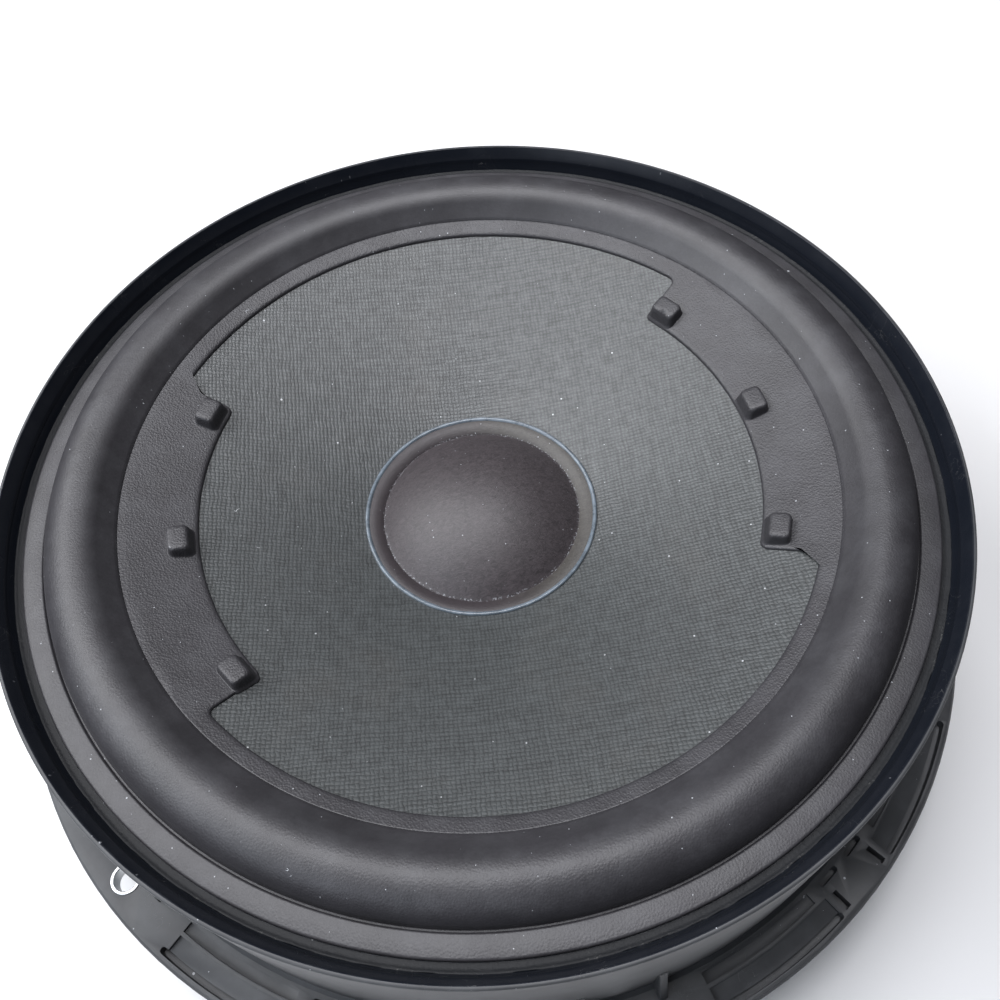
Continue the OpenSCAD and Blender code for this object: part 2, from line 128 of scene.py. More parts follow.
class SpeakerColours(bpy.types.PropertyGroup):
    """Base colour of each finish"""
    plastic: colour("Basket", "Moulded basket plastic", (0.050, 0.052, 0.056))
    rubber: colour("Rubber", "Surround and bumper rubber", (0.037, 0.0355, 0.040))
    cloth: colour("Cone cloth", "Woven cone", (0.055, 0.060, 0.061))
    felt: colour("Dust cap", "Pressed felt of the cap", (0.041, 0.034, 0.037))
    glue: colour("Bead", "Cured adhesive around the cap", (0.13, 0.16, 0.19))
    # Colour of the light crumbs in the groove, which are partly dusty adhesive and partly painted glints.
    landing_glue: colour("Groove adhesive", "Dusty adhesive outside the surround", (0.14, 0.14, 0.135))
    foam: colour("Foam", "Gasket and rear ring", (0.020, 0.020, 0.022))
    spider: colour("Spider", "Corrugated cloth", (0.42, 0.29, 0.11))
    card: colour("Card", "Clamp ring of the spider", (0.045, 0.042, 0.038))
    zinc: colour("Zinc plate", "Plates, sleeves and eyelets", (0.56, 0.57, 0.58))
    ferrite: colour("Ferrite", "Ground magnet ring", (0.060, 0.060, 0.064))
    black_steel: colour("Black steel", "Screws and vent screen", (0.045, 0.045, 0.048))
    copper: colour("Copper", "Winding, strips and pole sleeve", (0.72, 0.36, 0.20))
    brass: colour("Contact brass", "Plug contacts and lugs", (0.70, 0.58, 0.34))
    amber: colour("Former film", "Voice coil former", (0.40, 0.17, 0.03))
    kraft: colour("Paper wrap", "Wrap around the former's neck", (0.34, 0.21, 0.11))
    nylon: colour("Plug housing", "Connector plastic", (0.030, 0.031, 0.034))
    dust: colour("Dust", "Specks and dust in the grooves", (0.50, 0.52, 0.55))


# ---------- small helpers for shapes ----------

def rounded(corners, steps=4, closed=True):
    """Outline through corners of (radius, height, fillet), each corner turned with its own fillet."""
    points = []
    count = len(corners)
    for i, (r, z, fillet) in enumerate(corners):
        here = Vector((r, z))
        if fillet <= 0 or (not closed and i in (0, count - 1)):
            points.append((r, z))
            continue
        back = Vector(corners[i - 1][:2]) - here
        ahead = Vector(corners[(i + 1) % count][:2]) - here
        half = back.angle(ahead) / 2
        if half > math.radians(89):
            points.append((r, z))
            continue
        cut = min(fillet / math.tan(half), 0.48 * back.length, 0.48 * ahead.length)
        back.normalize()
        ahead.normalize()
        centre = here + (back + ahead).normalized() * (cut / math.cos(half))
        first, last = here + back * cut - centre, here + ahead * cut - centre
        sweep = first.angle(last)
        for k in range(steps + 1):
            t = k / steps
            spoke = (first * math.sin((1 - t) * sweep) + last * math.sin(t * sweep)) / math.sin(sweep)
            points.append(tuple(centre + spoke))
    return points


def arc(cr, cz, ra, rb, start, end, steps):
    """Points on an elliptical arc in the (radius, height) plane, angles in degrees."""
    angles = [math.radians(start + (end - start) * i / steps) for i in range(steps + 1)]
    return [(cr + ra * math.cos(a), cz + rb * math.sin(a)) for a in angles]


def new_object(name, verts, faces=(), edges=()):
    """A mesh object at the origin, in the scene's collection."""
    mesh = bpy.data.meshes.new(name)
    mesh.from_pydata([tuple(v) for v in verts], list(edges), list(faces))
    mesh.update()
    made = bpy.data.objects.new(name, mesh)
    bpy.context.scene.collection.objects.link(made)
    return made


def cleaned(piece, material=None, sharp=35, merge=1e-6, recalculate=True):
    """Merges doubles, turns the faces outwards, shades smooth with sharp creases, and sets the material."""
    work = bmesh.new()
    work.from_mesh(piece.data)
    bmesh.ops.remove_doubles(work, verts=work.verts, dist=merge)
    loose = [v for v in work.verts if not v.link_faces]
    bmesh.ops.delete(work, geom=loose, context="VERTS")
    if recalculate:
        bmesh.ops.recalc_face_normals(work, faces=work.faces)
    for face in work.faces:
        face.smooth = True
    work.to_mesh(piece.data)
    work.free()
    piece.data.set_sharp_from_angle(angle=math.radians(sharp))
    if material is not None:
        piece.data.materials.clear()
        piece.data.materials.append(material)
        for face in piece.data.polygons:
            face.material_index = 0
    return piece


def settled(piece):
    """Turns what the piece's modifiers make into its plain mesh, and removes them."""
    bpy.context.view_layer.update()
    graph = bpy.context.evaluated_depsgraph_get()
    mesh = bpy.data.meshes.new_from_object(piece.evaluated_get(graph), depsgraph=graph)
    mesh.name = piece.name
    piece.modifiers.clear()
    piece.data = mesh
    return piece


class Wiring:
    """A node tree with short calls for the nodes it is wired from."""

    def __init__(self, tree):
        self.tree = tree

    def wire(self, socket, value):
        if isinstance(value, bpy.types.NodeSocket):
            self.tree.links.new(value, socket)
        else:
            socket.default_value = value

    def node(self, kind, wires=(), **settings):
        made = self.tree.nodes.new(kind)
        for name, value in settings.items():
            setattr(made, name, value)
        for key, value in dict(wires).items():
            self.wire(made.inputs[key], value)
        return made

    def math(self, operation, a, b=0.0, c=0.0):
        return self.node("ShaderNodeMath", {0: a, 1: b, 2: c}, operation=operation).outputs[0]

    # scaled(a, b, c) is a times b plus c
    times = partialmethod(math, "MULTIPLY")
    scaled = partialmethod(math, "MULTIPLY_ADD")
    plus = partialmethod(math, "ADD")
    minus = partialmethod(math, "SUBTRACT")
    divided = partialmethod(math, "DIVIDE")
    remainder = partialmethod(math, "MODULO")
    floor = partialmethod(math, "FLOOR")
    sine = partialmethod(math, "SINE")
    cosine = partialmethod(math, "COSINE")
    absolute = partialmethod(math, "ABSOLUTE")
    larger = partialmethod(math, "MAXIMUM")
    below = partialmethod(math, "LESS_THAN")
    above = partialmethod(math, "GREATER_THAN")

    def vector(self, operation, a, b=(0, 0, 0)):
        made = self.node("ShaderNodeVectorMath", {0: a, 1: b}, operation=operation)
        return made.outputs[1 if operation in ("LENGTH", "DOT_PRODUCT") else 0]

    def stretched(self, vector, scale):
        return self.node("ShaderNodeVectorMath", {0: vector, "Scale": scale}, operation="SCALE").outputs[0]

    def mapped(self, vector, **settings):
        wires = {name.title(): value for name, value in settings.items()}
        return self.node("ShaderNodeMapping", {"Vector": vector, **wires}).outputs[0]

    def split(self, vector):
        return self.node("ShaderNodeSeparateXYZ", {0: vector}).outputs

    def join(self, x, y, z):
        return self.node("ShaderNodeCombineXYZ", {0: x, 1: y, 2: z}).outputs[0]


# ---------- Geometry Nodes ----------

def geometry_tree(name, inputs):
    """A new Geometry Nodes tree with named inputs after its geometry."""
    tree = bpy.data.node_groups.new(name, "GeometryNodeTree")
    tree.interface.new_socket("Geometry", in_out="INPUT", socket_type="NodeSocketGeometry")
    for label, kind, default in inputs:
        socket = tree.interface.new_socket(label, in_out="INPUT", socket_type=kind)
        if default is not None:
            socket.default_value = default
    tree.interface.new_socket("Geometry", in_out="OUTPUT", socket_type="NodeSocketGeometry")
    work = Wiring(tree)
    return work, work.node("NodeGroupInput").outputs


def end_tree(work, geometry, material):
    """Closes a tree with Realize Instances and Set Material."""
    real = work.node("GeometryNodeRealizeInstances", {"Geometry": geometry})
    painted = work.node("GeometryNodeSetMaterial", {"Geometry": real.outputs[0], "Material": material})
    work.node("NodeGroupOutput", {0: painted.outputs[0]})
    return work.tree


def swept(work, path, profile):
    """A tube along a curve."""
    tube = work.node("GeometryNodeCurveToMesh", {"Curve": path, "Profile Curve": profile, "Fill Caps": True})
    return tube.outputs[0]


def circle_curve(work, corners, radius):
    """A round profile curve with a few corners."""
    return work.node("GeometryNodeCurvePrimitiveCircle", {"Resolution": corners, "Radius": radius}).outputs[0]


def lifted(work, geometry, height):
    """The geometry moved up by a height."""
    moved = work.node("GeometryNodeTransform", {"Geometry": geometry,
                                                "Translation": work.join(0.0, 0.0, height)})
    return moved.outputs[0]


def turned_ring_tree():
    """Spins the profile drawn by the object's own points round the axis, with a seeded unevenness."""
    work, given = geometry_tree("Turned Ring", [
        ("Segments", "NodeSocketInt", 288), ("Unevenness", "NodeSocketFloat", 0.0),
        ("Lump Size", "NodeSocketFloat", 0.01), ("Seed", "NodeSocketFloat", 1.0),
        ("Material", "NodeSocketMaterial", None)])
    count = work.node("GeometryNodeAttributeDomainSize", {0: given["Geometry"]}).outputs["Point Count"]
    across = work.plus(given["Segments"], 1.0)
    grid = work.node("GeometryNodeMeshGrid", {"Size X": 1.0, "Size Y": 1.0, "Vertices X": across,
                                              "Vertices Y": count})
    index = work.node("GeometryNodeInputIndex").outputs[0]
    row = work.remainder(index, count)
    column = work.floor(work.divided(work.plus(index, 0.5), count))
    position = work.node("GeometryNodeInputPosition").outputs[0]
    point = work.node("GeometryNodeSampleIndex", {"Geometry": given["Geometry"], "Index": row},
                      data_type="FLOAT_VECTOR", domain="POINT")
    work.wire(next(s for s in point.inputs if s.name == "Value" and s.enabled), position)
    x, _, z = work.split(next(s for s in point.outputs if s.enabled))
    angle = work.divided(work.times(column, math.tau), given["Segments"])
    cosine, sine = work.cosine(angle), work.sine(angle)
    spun = work.join(work.times(x, cosine), work.times(x, sine), z)
    scale = work.divided(1.0, given["Lump Size"])
    noise = work.node("ShaderNodeTexNoise", {"Vector": spun, "Scale": scale, "Detail": 3.0,
                                             "W": given["Seed"]}, noise_dimensions="4D")
    lump = work.vector("SUBTRACT", noise.outputs["Color"], (0.5, 0.5, 0.5))
    stray = work.stretched(lump, given["Unevenness"])
    placed = work.node("GeometryNodeSetPosition", {
        "Geometry": grid.outputs["Mesh"], "Position": work.vector("ADD", spun, stray)})
    closed = work.node("GeometryNodeMergeByDistance", {"Geometry": placed.outputs[0], "Distance": 2e-6})
    return end_tree(work, closed.outputs[0], given["Material"])


def copies_tree():
    """Copies the object's own mesh round the axis, in groups."""
    work, given = geometry_tree("Copies Round The Axis", [
        ("Count", "NodeSocketInt", 6), ("Groups", "NodeSocketInt", 1),
        ("First Angle", "NodeSocketFloat", 0.0), ("Step Angle", "NodeSocketFloat", math.radians(60)),
        ("Group Step", "NodeSocketFloat", 0.0), ("Material", "NodeSocketMaterial", None)])
    total = work.times(given["Count"], given["Groups"])
    line = work.node("GeometryNodeMeshLine", {"Count": total, "Offset": (0, 0, 0)})
    index = work.node("GeometryNodeInputIndex").outputs[0]
    within = work.remainder(index, given["Count"])
    group = work.floor(work.divided(work.plus(index, 0.5), given["Count"]))
    turn = work.scaled(within, given["Step Angle"], given["First Angle"])
    turn = work.scaled(group, given["Group Step"], turn)
    placed = work.node("GeometryNodeInstanceOnPoints", {
        "Points": line.outputs[0], "Instance": given["Geometry"], "Rotation": work.join(0.0, 0.0, turn)})
    return end_tree(work, placed.outputs[0], given["Material"])


def wound_wire_tree():
    """One layer of wire wound in touching turns round the axis."""
    work, given = geometry_tree("Wound Wire", [
        ("Turns", "NodeSocketFloat", 45.0), ("Radius", "NodeSocketFloat", 0.0258),
        ("Height", "NodeSocketFloat", 0.02), ("Bottom", "NodeSocketFloat", 0.0),
        ("Wire Radius", "NodeSocketFloat", 0.0002), ("Material", "NodeSocketMaterial", None)])
    spiral = work.node("GeometryNodeCurveSpiral", {
        "Resolution": 56, "Rotations": given["Turns"], "Start Radius": given["Radius"],
        "End Radius": given["Radius"], "Height": given["Height"]})
    wire = swept(work, spiral.outputs[0], circle_curve(work, 6, given["Wire Radius"]))
    return end_tree(work, lifted(work, wire, given["Bottom"]), given["Material"])


def braided_lead_tree():
    """Strands plaited both ways round a cubic curve, over a core."""
    work, given = geometry_tree("Braided Lead", [
        ("Start", "NodeSocketVector", (0, 0, 0)), ("Start Handle", "NodeSocketVector", (0, 0, 0)),
        ("End Handle", "NodeSocketVector", (0, 0, 0)), ("End", "NodeSocketVector", (0, 0, 0)),
        ("Strands", "NodeSocketInt", 10), ("Lay Radius", "NodeSocketFloat", 0.0006),
        ("Strand Radius", "NodeSocketFloat", 0.0002), ("Twists", "NodeSocketFloat", 7.0),
        ("Material", "NodeSocketMaterial", None)])
    path = work.node("GeometryNodeCurvePrimitiveBezierSegment", {
        "Resolution": 24, "Start": given["Start"], "Start Handle": given["Start Handle"],
        "End Handle": given["End Handle"], "End": given["End"]})
    fine = work.node("GeometryNodeResampleCurve", {"Curve": path.outputs[0], "Count": 110})
    plait = work.node("GeometryNodeDuplicateElements", {
        "Geometry": fine.outputs[0], "Amount": given["Strands"]}, domain="SPLINE")
    number = plait.outputs["Duplicate Index"]
    way = work.minus(work.times(work.remainder(number, 2.0), 2.0), 1.0)
    share = work.node("GeometryNodeSplineParameter").outputs["Factor"]
    swing = work.times(work.times(share, given["Twists"]), work.times(way, math.tau))
    phase = work.plus(swing, work.divided(work.times(number, math.tau), given["Strands"]))
    crossing = work.times(work.sine(work.times(phase, 2.5)), work.times(way, 0.08))
    reach = work.times(given["Lay Radius"], work.plus(crossing, 0.9))
    side = work.node("GeometryNodeInputNormal").outputs[0]
    along = work.node("GeometryNodeInputTangent").outputs[0]
    third = work.vector("CROSS_PRODUCT", along, side)
    offset = work.vector("ADD", work.stretched(side, work.times(reach, work.cosine(phase))),
                         work.stretched(third, work.times(reach, work.sine(phase))))
    moved = work.node("GeometryNodeSetPosition", {"Geometry": plait.outputs[0], "Offset": offset})
    strand = circle_curve(work, 6, given["Strand Radius"])
    core = circle_curve(work, 10, work.times(given["Lay Radius"], 0.72))
    both = work.node("GeometryNodeJoinGeometry")
    work.wire(both.inputs[0], swept(work, moved.outputs[0], strand))
    work.wire(both.inputs[0], swept(work, fine.outputs[0], core))
    return end_tree(work, both.outputs[0], given["Material"])


def perforated_disc_tree():
    """A disc with rings of round holes through it."""
    work, given = geometry_tree("Perforated Disc", [
        ("Radius", "NodeSocketFloat", 0.0089), ("Thickness", "NodeSocketFloat", 0.0006),
        ("Height", "NodeSocketFloat", 0.0), ("Hole Radius", "NodeSocketFloat", 0.0005),
        ("Pitch", "NodeSocketFloat", 0.0015), ("Material", "NodeSocketMaterial", None)])
    disc = work.node("GeometryNodeMeshCylinder", {
        "Vertices": 96, "Radius": given["Radius"], "Depth": given["Thickness"]})
    drill = work.node("GeometryNodeMeshCylinder", {
        "Vertices": 12, "Radius": given["Hole Radius"], "Depth": work.times(given["Thickness"], 4.0)})
    width = work.times(given["Pitch"], 12.0)
    field = work.node("GeometryNodeMeshGrid", {
        "Size X": width, "Size Y": width, "Vertices X": 13, "Vertices Y": 13})
    away = work.vector("LENGTH", work.node("GeometryNodeInputPosition").outputs[0])
    limit = work.minus(given["Radius"], work.times(given["Pitch"], 0.9))
    inner = work.node("FunctionNodeCompare", {0: away, 1: limit}, data_type="FLOAT", operation="LESS_THAN")
    holes = work.node("GeometryNodeInstanceOnPoints", {
        "Points": field.outputs["Mesh"], "Selection": inner.outputs[0], "Instance": drill.outputs["Mesh"]})
    cutters = work.node("GeometryNodeRealizeInstances", {"Geometry": holes.outputs[0]})
    cut = work.node("GeometryNodeMeshBoolean", {"Mesh 1": disc.outputs["Mesh"]}, operation="DIFFERENCE")
    work.wire(cut.inputs["Mesh 2"], cutters.outputs[0])
    return end_tree(work, lifted(work, cut.outputs["Mesh"], given["Height"]), given["Material"])


TREES = {}


def grown(piece, make_tree, **values):
    """Runs a Geometry Nodes tree on the piece with named inputs, and leaves a plain mesh."""
    if make_tree not in TREES:
        TREES[make_tree] = make_tree()
    tree = TREES[make_tree]
    modifier = piece.modifiers.new(tree.name, "NODES")
    modifier.node_group = tree
    wanted = {name.replace("_", " ").title(): value for name, value in values.items()}
    for item in tree.interface.items_tree:
        if item.item_type == "SOCKET" and item.in_out == "INPUT" and item.name in wanted:
            modifier[item.identifier] = wanted.pop(item.name)
    if wanted:
        raise RuntimeError(f"{tree.name} has no input named {sorted(wanted)}")
    return settled(piece)


def turned(name, profile, material, segments=None, sharp=35, unevenness=0.0, lump_size=0.01, seed=1.0):
    """A closed turned piece from its (radius, height) outline in millimetres."""
    loop = list(profile) + [profile[0]]
    verts = [(r * MM, 0, z * MM) for r, z in loop]
    piece = new_object(name, verts, edges=[(i, i + 1) for i in range(len(loop) - 1)])
    count = segments or bpy.context.scene.speaker_sizes.segments
    grown(piece, turned_ring_tree, segments=count, unevenness=float(unevenness), lump_size=float(lump_size),
          seed=float(seed), material=material)
    return cleaned(piece, material, sharp)


def refined(name, node, material, bevel):
    """A copy of a CAD node's mesh with merged corners, clean faces and softened edges."""
    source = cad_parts[node]
    piece = bpy.data.objects.new(name, source.data.copy())
    bpy.context.scene.collection.objects.link(piece)
    piece.data.materials.clear()
    piece.data.materials.append(material)
    work = bmesh.new()
    work.from_mesh(piece.data)
    bmesh.ops.remove_doubles(work, verts=work.verts, dist=2e-6)
    bmesh.ops.dissolve_limit(work, angle_limit=math.radians(1.2), verts=work.verts, edges=work.edges)
    for face in work.faces:
        face.smooth = True
        face.material_index = 0
    work.to_mesh(piece.data)
    work.free()
    rounder = piece.modifiers.new("Edges", "BEVEL")
    rounder.width, rounder.segments = bevel * MM, 2
    rounder.limit_method, rounder.angle_limit = "ANGLE", math.radians(32)
    settled(piece)
    piece.data.set_sharp_from_angle(angle=math.radians(40))
    return piece


def finished(piece, body, node):
    """Puts a finished piece on its body, when it has one, and hides the CAD node it stands for."""
    if body:
        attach(piece, body)
    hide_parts(node)


def place_turned(name, profile, body, slot, node, **shape):
    """A finished turned piece in the place of a CAD node."""
    finished(turned(name, profile, finish_of(slot), **shape), body, node)


def place_refined(name, bevel, body, slot, node):
    """A finished copy of a CAD node with softened edges."""
    finished(refined(name, node, finish_of(slot), bevel), body, node)


# ---------- finishes ----------

def shade(base, share):
    """The colour made darker or lighter."""
    return tuple(min(1, c * share) for c in base)


class Finish(Wiring):
    """One procedural material on Object coordinates; sizes in its calls are millimetres."""

    def __init__(self, name, **constants):
        self.material = bpy.data.materials.new(name)
        self.material.use_nodes = True
        super().__init__(self.material.node_tree)
        self.shader = self.tree.nodes["Principled BSDF"]
        self.set(**constants)
        self.place = self.node("ShaderNodeTexCoord").outputs["Object"]
        self.x, self.y, self.z = self.split(self.place)
        self.radius = self.vector("LENGTH", self.join(self.x, self.y, 0.0))

    def set(self, **inputs):
        """Sets or wires the shader's inputs, such as base_color or roughness."""
        for name, value in inputs.items():
            label = name.replace("_", " ").title().replace("Ior", "IOR")
            self.wire(self.shader.inputs[label], value)

    def noise(self, size, detail=3.0, rough=0.5, distortion=0.0, where=None):
        """Soft noise from 0 to 1 with lumps of this size."""
        made = self.node("ShaderNodeTexNoise", {
            "Vector": where or self.place, "Scale": 1 / (size * MM), "Detail": detail,
            "Roughness": rough, "Distortion": distortion})
        return made.outputs[0]

    def cells(self, size, where=None, dimensions="3D"):
        """Distance to the nearest cell point, in cells, and the cell's random colour."""
        made = self.node("ShaderNodeTexVoronoi", {"Vector": where or self.place, "Scale": 1 / (size * MM)},
                         voronoi_dimensions=dimensions)
        return made.outputs["Distance"], made.outputs["Color"]

    def ramp(self, value, low, high, start=0.0, end=1.0):
        """Smooth step of value from low to high, onto start to end."""
        made = self.node("ShaderNodeMapRange", {0: value, 1: low, 2: high, 3: start, 4: end},
                         interpolation_type="SMOOTHSTEP")
        return made.outputs[0]

    def mix(self, share, a, b):
        """Colour between a and b."""
        made = self.node("ShaderNodeMix", data_type="RGBA")
        self.wire(made.inputs[0], share)
        for socket, value in ((made.inputs[6], a), (made.inputs[7], b)):
            self.wire(socket, value if isinstance(value, bpy.types.NodeSocket) else (*value, 1.0))
        return made.outputs[2]

    def upward(self):
        """1 where the surface faces up, 0 on walls and undersides."""
        normal = self.node("ShaderNodeNewGeometry").outputs["Normal"]
        return self.ramp(self.split(normal)[2], 0.25, 0.85)

    def specks(self, size, spacing, share, shift=0.0):
        """Sparse round specks seen from above, 0 or 1."""
        where = self.vector("ADD", self.place, (shift * MM, shift * 1.7 * MM, 0))
        distance, tint = self.cells(spacing, where, "2D")
        chance, grade, _ = self.split(tint)
        least = 0.3 * size / spacing
        reach = self.scaled(self.times(grade, grade), 0.7 * size / spacing, least)
        dot = self.below(distance, reach)
        return self.times(dot, self.below(chance, share))

    def fibres(self, size, share, width=0.012):
        """Short stray fibres: pieces of wandering lines in a few cells."""
        line = self.absolute(self.minus(self.noise(size * 1.3, 1.0), 0.5))
        thin = self.below(line, width)
        distance, tint = self.cells(size * 7, self.vector("ADD", self.place, (0.003, 0.001, 0)), "2D")
        near = self.below(distance, 0.07)
        chosen = self.below(self.split(tint)[1], share)
        return self.times(thin, self.times(near, chosen))

    def dusted(self, base, dust, speck, share, film=0.0, fibre=0.0):
        """Base colour with specks, stray fibres and a thin film of dust on what faces up."""
        mask = self.larger(self.specks(speck, speck * 16, share),
                           self.specks(speck * 1.8, speck * 60, share, 31))
        if fibre:
            mask = self.larger(mask, self.fibres(1.6, fibre))
        mask = self.times(mask, self.upward())
        if film:
            veil = self.times(self.ramp(self.noise(9, 5, 0.65), 0.38, 0.75), film)
            base = self.mix(self.times(veil, self.upward()), base, dust)
        return self.mix(self.times(mask, 0.8), base, dust)

    def bump(self, height, depth):
        """Relief of this depth on the surface."""
        made = self.node("ShaderNodeBump", {"Height": height, "Distance": depth * MM, "Strength": 1.0})
        return made.outputs[0]

    def weave(self, u, v, pitch):
        """Height of a plain weave's threads, from 0 in the gaps to 1."""
        across = self.sine(self.times(u, math.pi / pitch))
        along = self.sine(self.times(v, math.pi / pitch))
        both = self.times(across, along)
        weft = self.plus(self.absolute(across), both)
        warp = self.minus(self.absolute(along), both)
        return self.times(self.larger(weft, warp), 0.5)

    def shaded(self, base, low, high):
        """The colour scaled by a slow noise between low and high."""
        share = self.ramp(self.noise(14, 4, 0.6), 0.3, 0.7)
        return self.mix(share, shade(base, low), shade(base, high))


def plastic_finish(colours):
    """Satin moulded plastic, glossier inside the lip and painted near black-blue there as shade and reflected
    sky, with dust, scuffs and a few scratches.
    """
    base = colours.plastic
    make = Finish("Basket plastic")
    grain = make.noise(0.35, 3, 0.6)
    flow = make.noise(22, 4, 0.6)
    lip = make.times(make.below(make.radius, 109.3 * MM), make.above(make.z, 45.2 * MM))
    tone = make.shaded(base, 0.85, 1.2)
    # Painted shade and reflection: inside the lip (the inner wall and the ledge at its foot) the colour goes
    # near black as painted shade in the groove, and its blue tint is a painted reflection of the sky. The
    # lower roughness there is the lip's real gloss.
    tone = make.mix(make.times(lip, 0.9), tone, (0.004, 0.006, 0.011))
    scratch = make.below(make.absolute(make.minus(make.noise(6, 2, 0.3, 2.5), 0.5)), 0.0022)
    marks = make.times(scratch, make.above(make.noise(11, 2), 0.62))
    tone = make.mix(make.times(marks, 0.5), tone, (0.2, 0.2, 0.2))
    tone = make.dusted(tone, colours.dust, 0.16, 0.08, 0.03, 0.03)
    rough = make.scaled(flow, 0.16, 0.40)
    rough = make.scaled(lip, -0.22, rough)
    make.set(base_color=tone, roughness=rough, specular_ior_level=make.scaled(lip, -0.2, 0.45),
             normal=make.bump(make.minus(make.times(grain, 0.6), marks), 0.012))
    return make.material


def rubber_finish(colours):
    """Satin rubber with a coarse pebbled grain, faintest on the roll, and a film of dust."""
    base = colours.rubber
    make = Finish("Surround rubber", specular_ior_level=0.62)
    distance, tint = make.cells(0.5)
    pebble = make.ramp(distance, 0.1, 0.8, 1.0, 0.0)
    fine = make.noise(0.3, 3, 0.6)
    relief = make.scaled(pebble, 0.7, make.times(fine, 0.5))
    flat = make.plus(make.ramp(make.radius, 83.3 * MM, 83.6 * MM, 0.85, 0.12),
                     make.ramp(make.radius, 87 * MM, 91 * MM, 0.0, 0.28))
    tone = make.shaded(base, 0.86, 1.16)
    tone = make.mix(make.times(make.split(tint)[0], 0.3), tone, shade(base, 0.45))
    tone = make.dusted(tone, colours.dust, 0.15, 0.09, 0.035, 0.03)
    rough = make.scaled(make.noise(7, 4, 0.6), 0.12, 0.42)
    make.set(base_color=tone, roughness=rough, normal=make.bump(make.times(relief, flat), 0.07))
    return make.material


def cloth_finish(colours, sizes):
    """Plain weave of stiffened threads: light threads, dark gaps, resin sheen, stains and lint."""
    base = colours.cloth
    make = Finish("Woven cone cloth", specular_ior_level=0.7)
    turned_place = make.mapped(make.place, rotation=(0, 0, -VIEW_TURN))
    wander = make.scaled(make.noise(16, 2), 1.4 * MM, -0.7 * MM)
    wander = make.scaled(make.noise(2.2, 3, 0.6), 0.9 * MM, wander)
    u, v, _ = make.split(turned_place)
    thread = make.weave(make.plus(u, wander), make.minus(v, wander), sizes.weave_pitch)
    fuzz = make.noise(0.22, 3, 0.7)
    upright, level = (make.noise(1.0, 3, 0.7, where=make.mapped(turned_place, scale=scale))
                      for scale in ((1.1, 0.09, 1), (0.09, 1.1, 1)))
    slub = make.scaled(upright, 0.5, make.times(level, 0.5))
    relief = make.scaled(fuzz, 0.5, thread)
    slub = make.ramp(slub, 0.36, 0.64, 0.0, 0.5)
    light = make.scaled(make.ramp(relief, 0.45, 1.3), 0.5, slub)
    tone = make.mix(light, shade(base, 0.45), shade(base, 1.5))
    stain = make.ramp(make.noise(24, 4, 0.55), 0.52, 0.72)
    tone = make.mix(make.times(stain, 0.16), tone, (0.085, 0.078, 0.07))
    tone = make.dusted(tone, (0.62, 0.64, 0.66), 0.2, 0.06, 0.0, 0.03)
    rough = make.scaled(light, -0.12, 0.5)
    make.set(base_color=tone, roughness=rough, normal=make.bump(relief, 0.07))
    return make.material


def felt_finish(colours):
    """Pressed felt-like paper: matted fibres, a browner brim and a speckled line at its foot."""
    base = colours.felt
    make = Finish("Felt cap", specular_ior_level=0.7)
    slant = make.mapped(make.place, rotation=(0, 0, math.radians(-35)), scale=(0.45, 1, 1))
    fibre = make.noise(0.75, 5, 0.72, 1.6, slant)
    matting = make.noise(0.3, 3, 0.7)
    relief = make.scaled(fibre, 0.7, make.times(matting, 0.4))
    tone = make.mix(make.ramp(fibre, 0.3, 0.72), shade(base, 0.6), shade(base, 1.7))
    brim = make.ramp(make.radius, 24.4 * MM, 25.0 * MM)
    olive = make.ramp(make.x, -8 * MM, 18 * MM)
    under = make.mix(olive, (0.038, 0.030, 0.034), (0.060, 0.055, 0.048))
    under = make.mix(make.ramp(fibre, 0.35, 0.7, 0.0, 0.6), under, (0.018, 0.014, 0.015))
    tone = make.mix(brim, tone, under)
    foot = make.below(make.absolute(make.minus(make.radius, 24.5 * MM)), 0.35 * MM)
    speckle = make.times(foot, make.above(make.noise(0.5, 2), 0.6))
    tone = make.mix(make.times(speckle, 0.4), tone, colours.dust)
    tone = make.dusted(tone, colours.dust, 0.14, 0.12, 0.0, 0.0)
    rough = make.scaled(matting, 0.2, 0.4)
    make.set(base_color=tone, roughness=rough, normal=make.bump(relief, 0.09))
    return make.material


def glue_finish(colours):
    """Cured blue-grey adhesive: glossy, cloudy and lumpy, with an amber fleck or two."""
    base = colours.glue
    make = Finish("Bead adhesive", specular_ior_level=0.55, coat_weight=0.35, coat_roughness=0.12)
    cloud = make.noise(3.2, 4, 0.6)
    tone = make.mix(make.ramp(cloud, 0.32, 0.68), shade(base, 0.72), shade(base, 1.25))
    fleck = make.specks(0.9, 16, 0.07, 11)
    tone = make.mix(fleck, tone, (0.24, 0.12, 0.03))
    make.set(base_color=tone, roughness=make.scaled(cloud, 0.25, 0.16),
             normal=make.bump(make.noise(1.1, 3, 0.5), 0.05))
    return make.material


def groove_finish(colours):
    """Line of dusty adhesive in the groove outside the surround, painted near black as the groove's shade,
    with light crumbs that are partly dusty adhesive and partly painted glints.
    """
    make = Finish("Groove adhesive", specular_ior_level=0.3)
    crumbs = make.noise(0.7, 4, 0.7)
    patch = make.ramp(make.noise(9, 3), 0.45, 0.7)
    ridge = make.ramp(make.radius, 106.2 * MM, 106.45 * MM, 0.15, 1.0)
    share = make.times(make.ramp(crumbs, 0.55, 0.7), make.times(patch, ridge))
    # Painted shade: the near-black colour stands for the dark groove. The light crumbs and the line along the
    # wall are partly dusty adhesive and partly painted glints.
    tone = make.mix(share, (0.006, 0.007, 0.009), colours.landing_glue)
    make.set(base_color=tone, roughness=0.55, normal=make.bump(crumbs, 0.1))
    return make.material


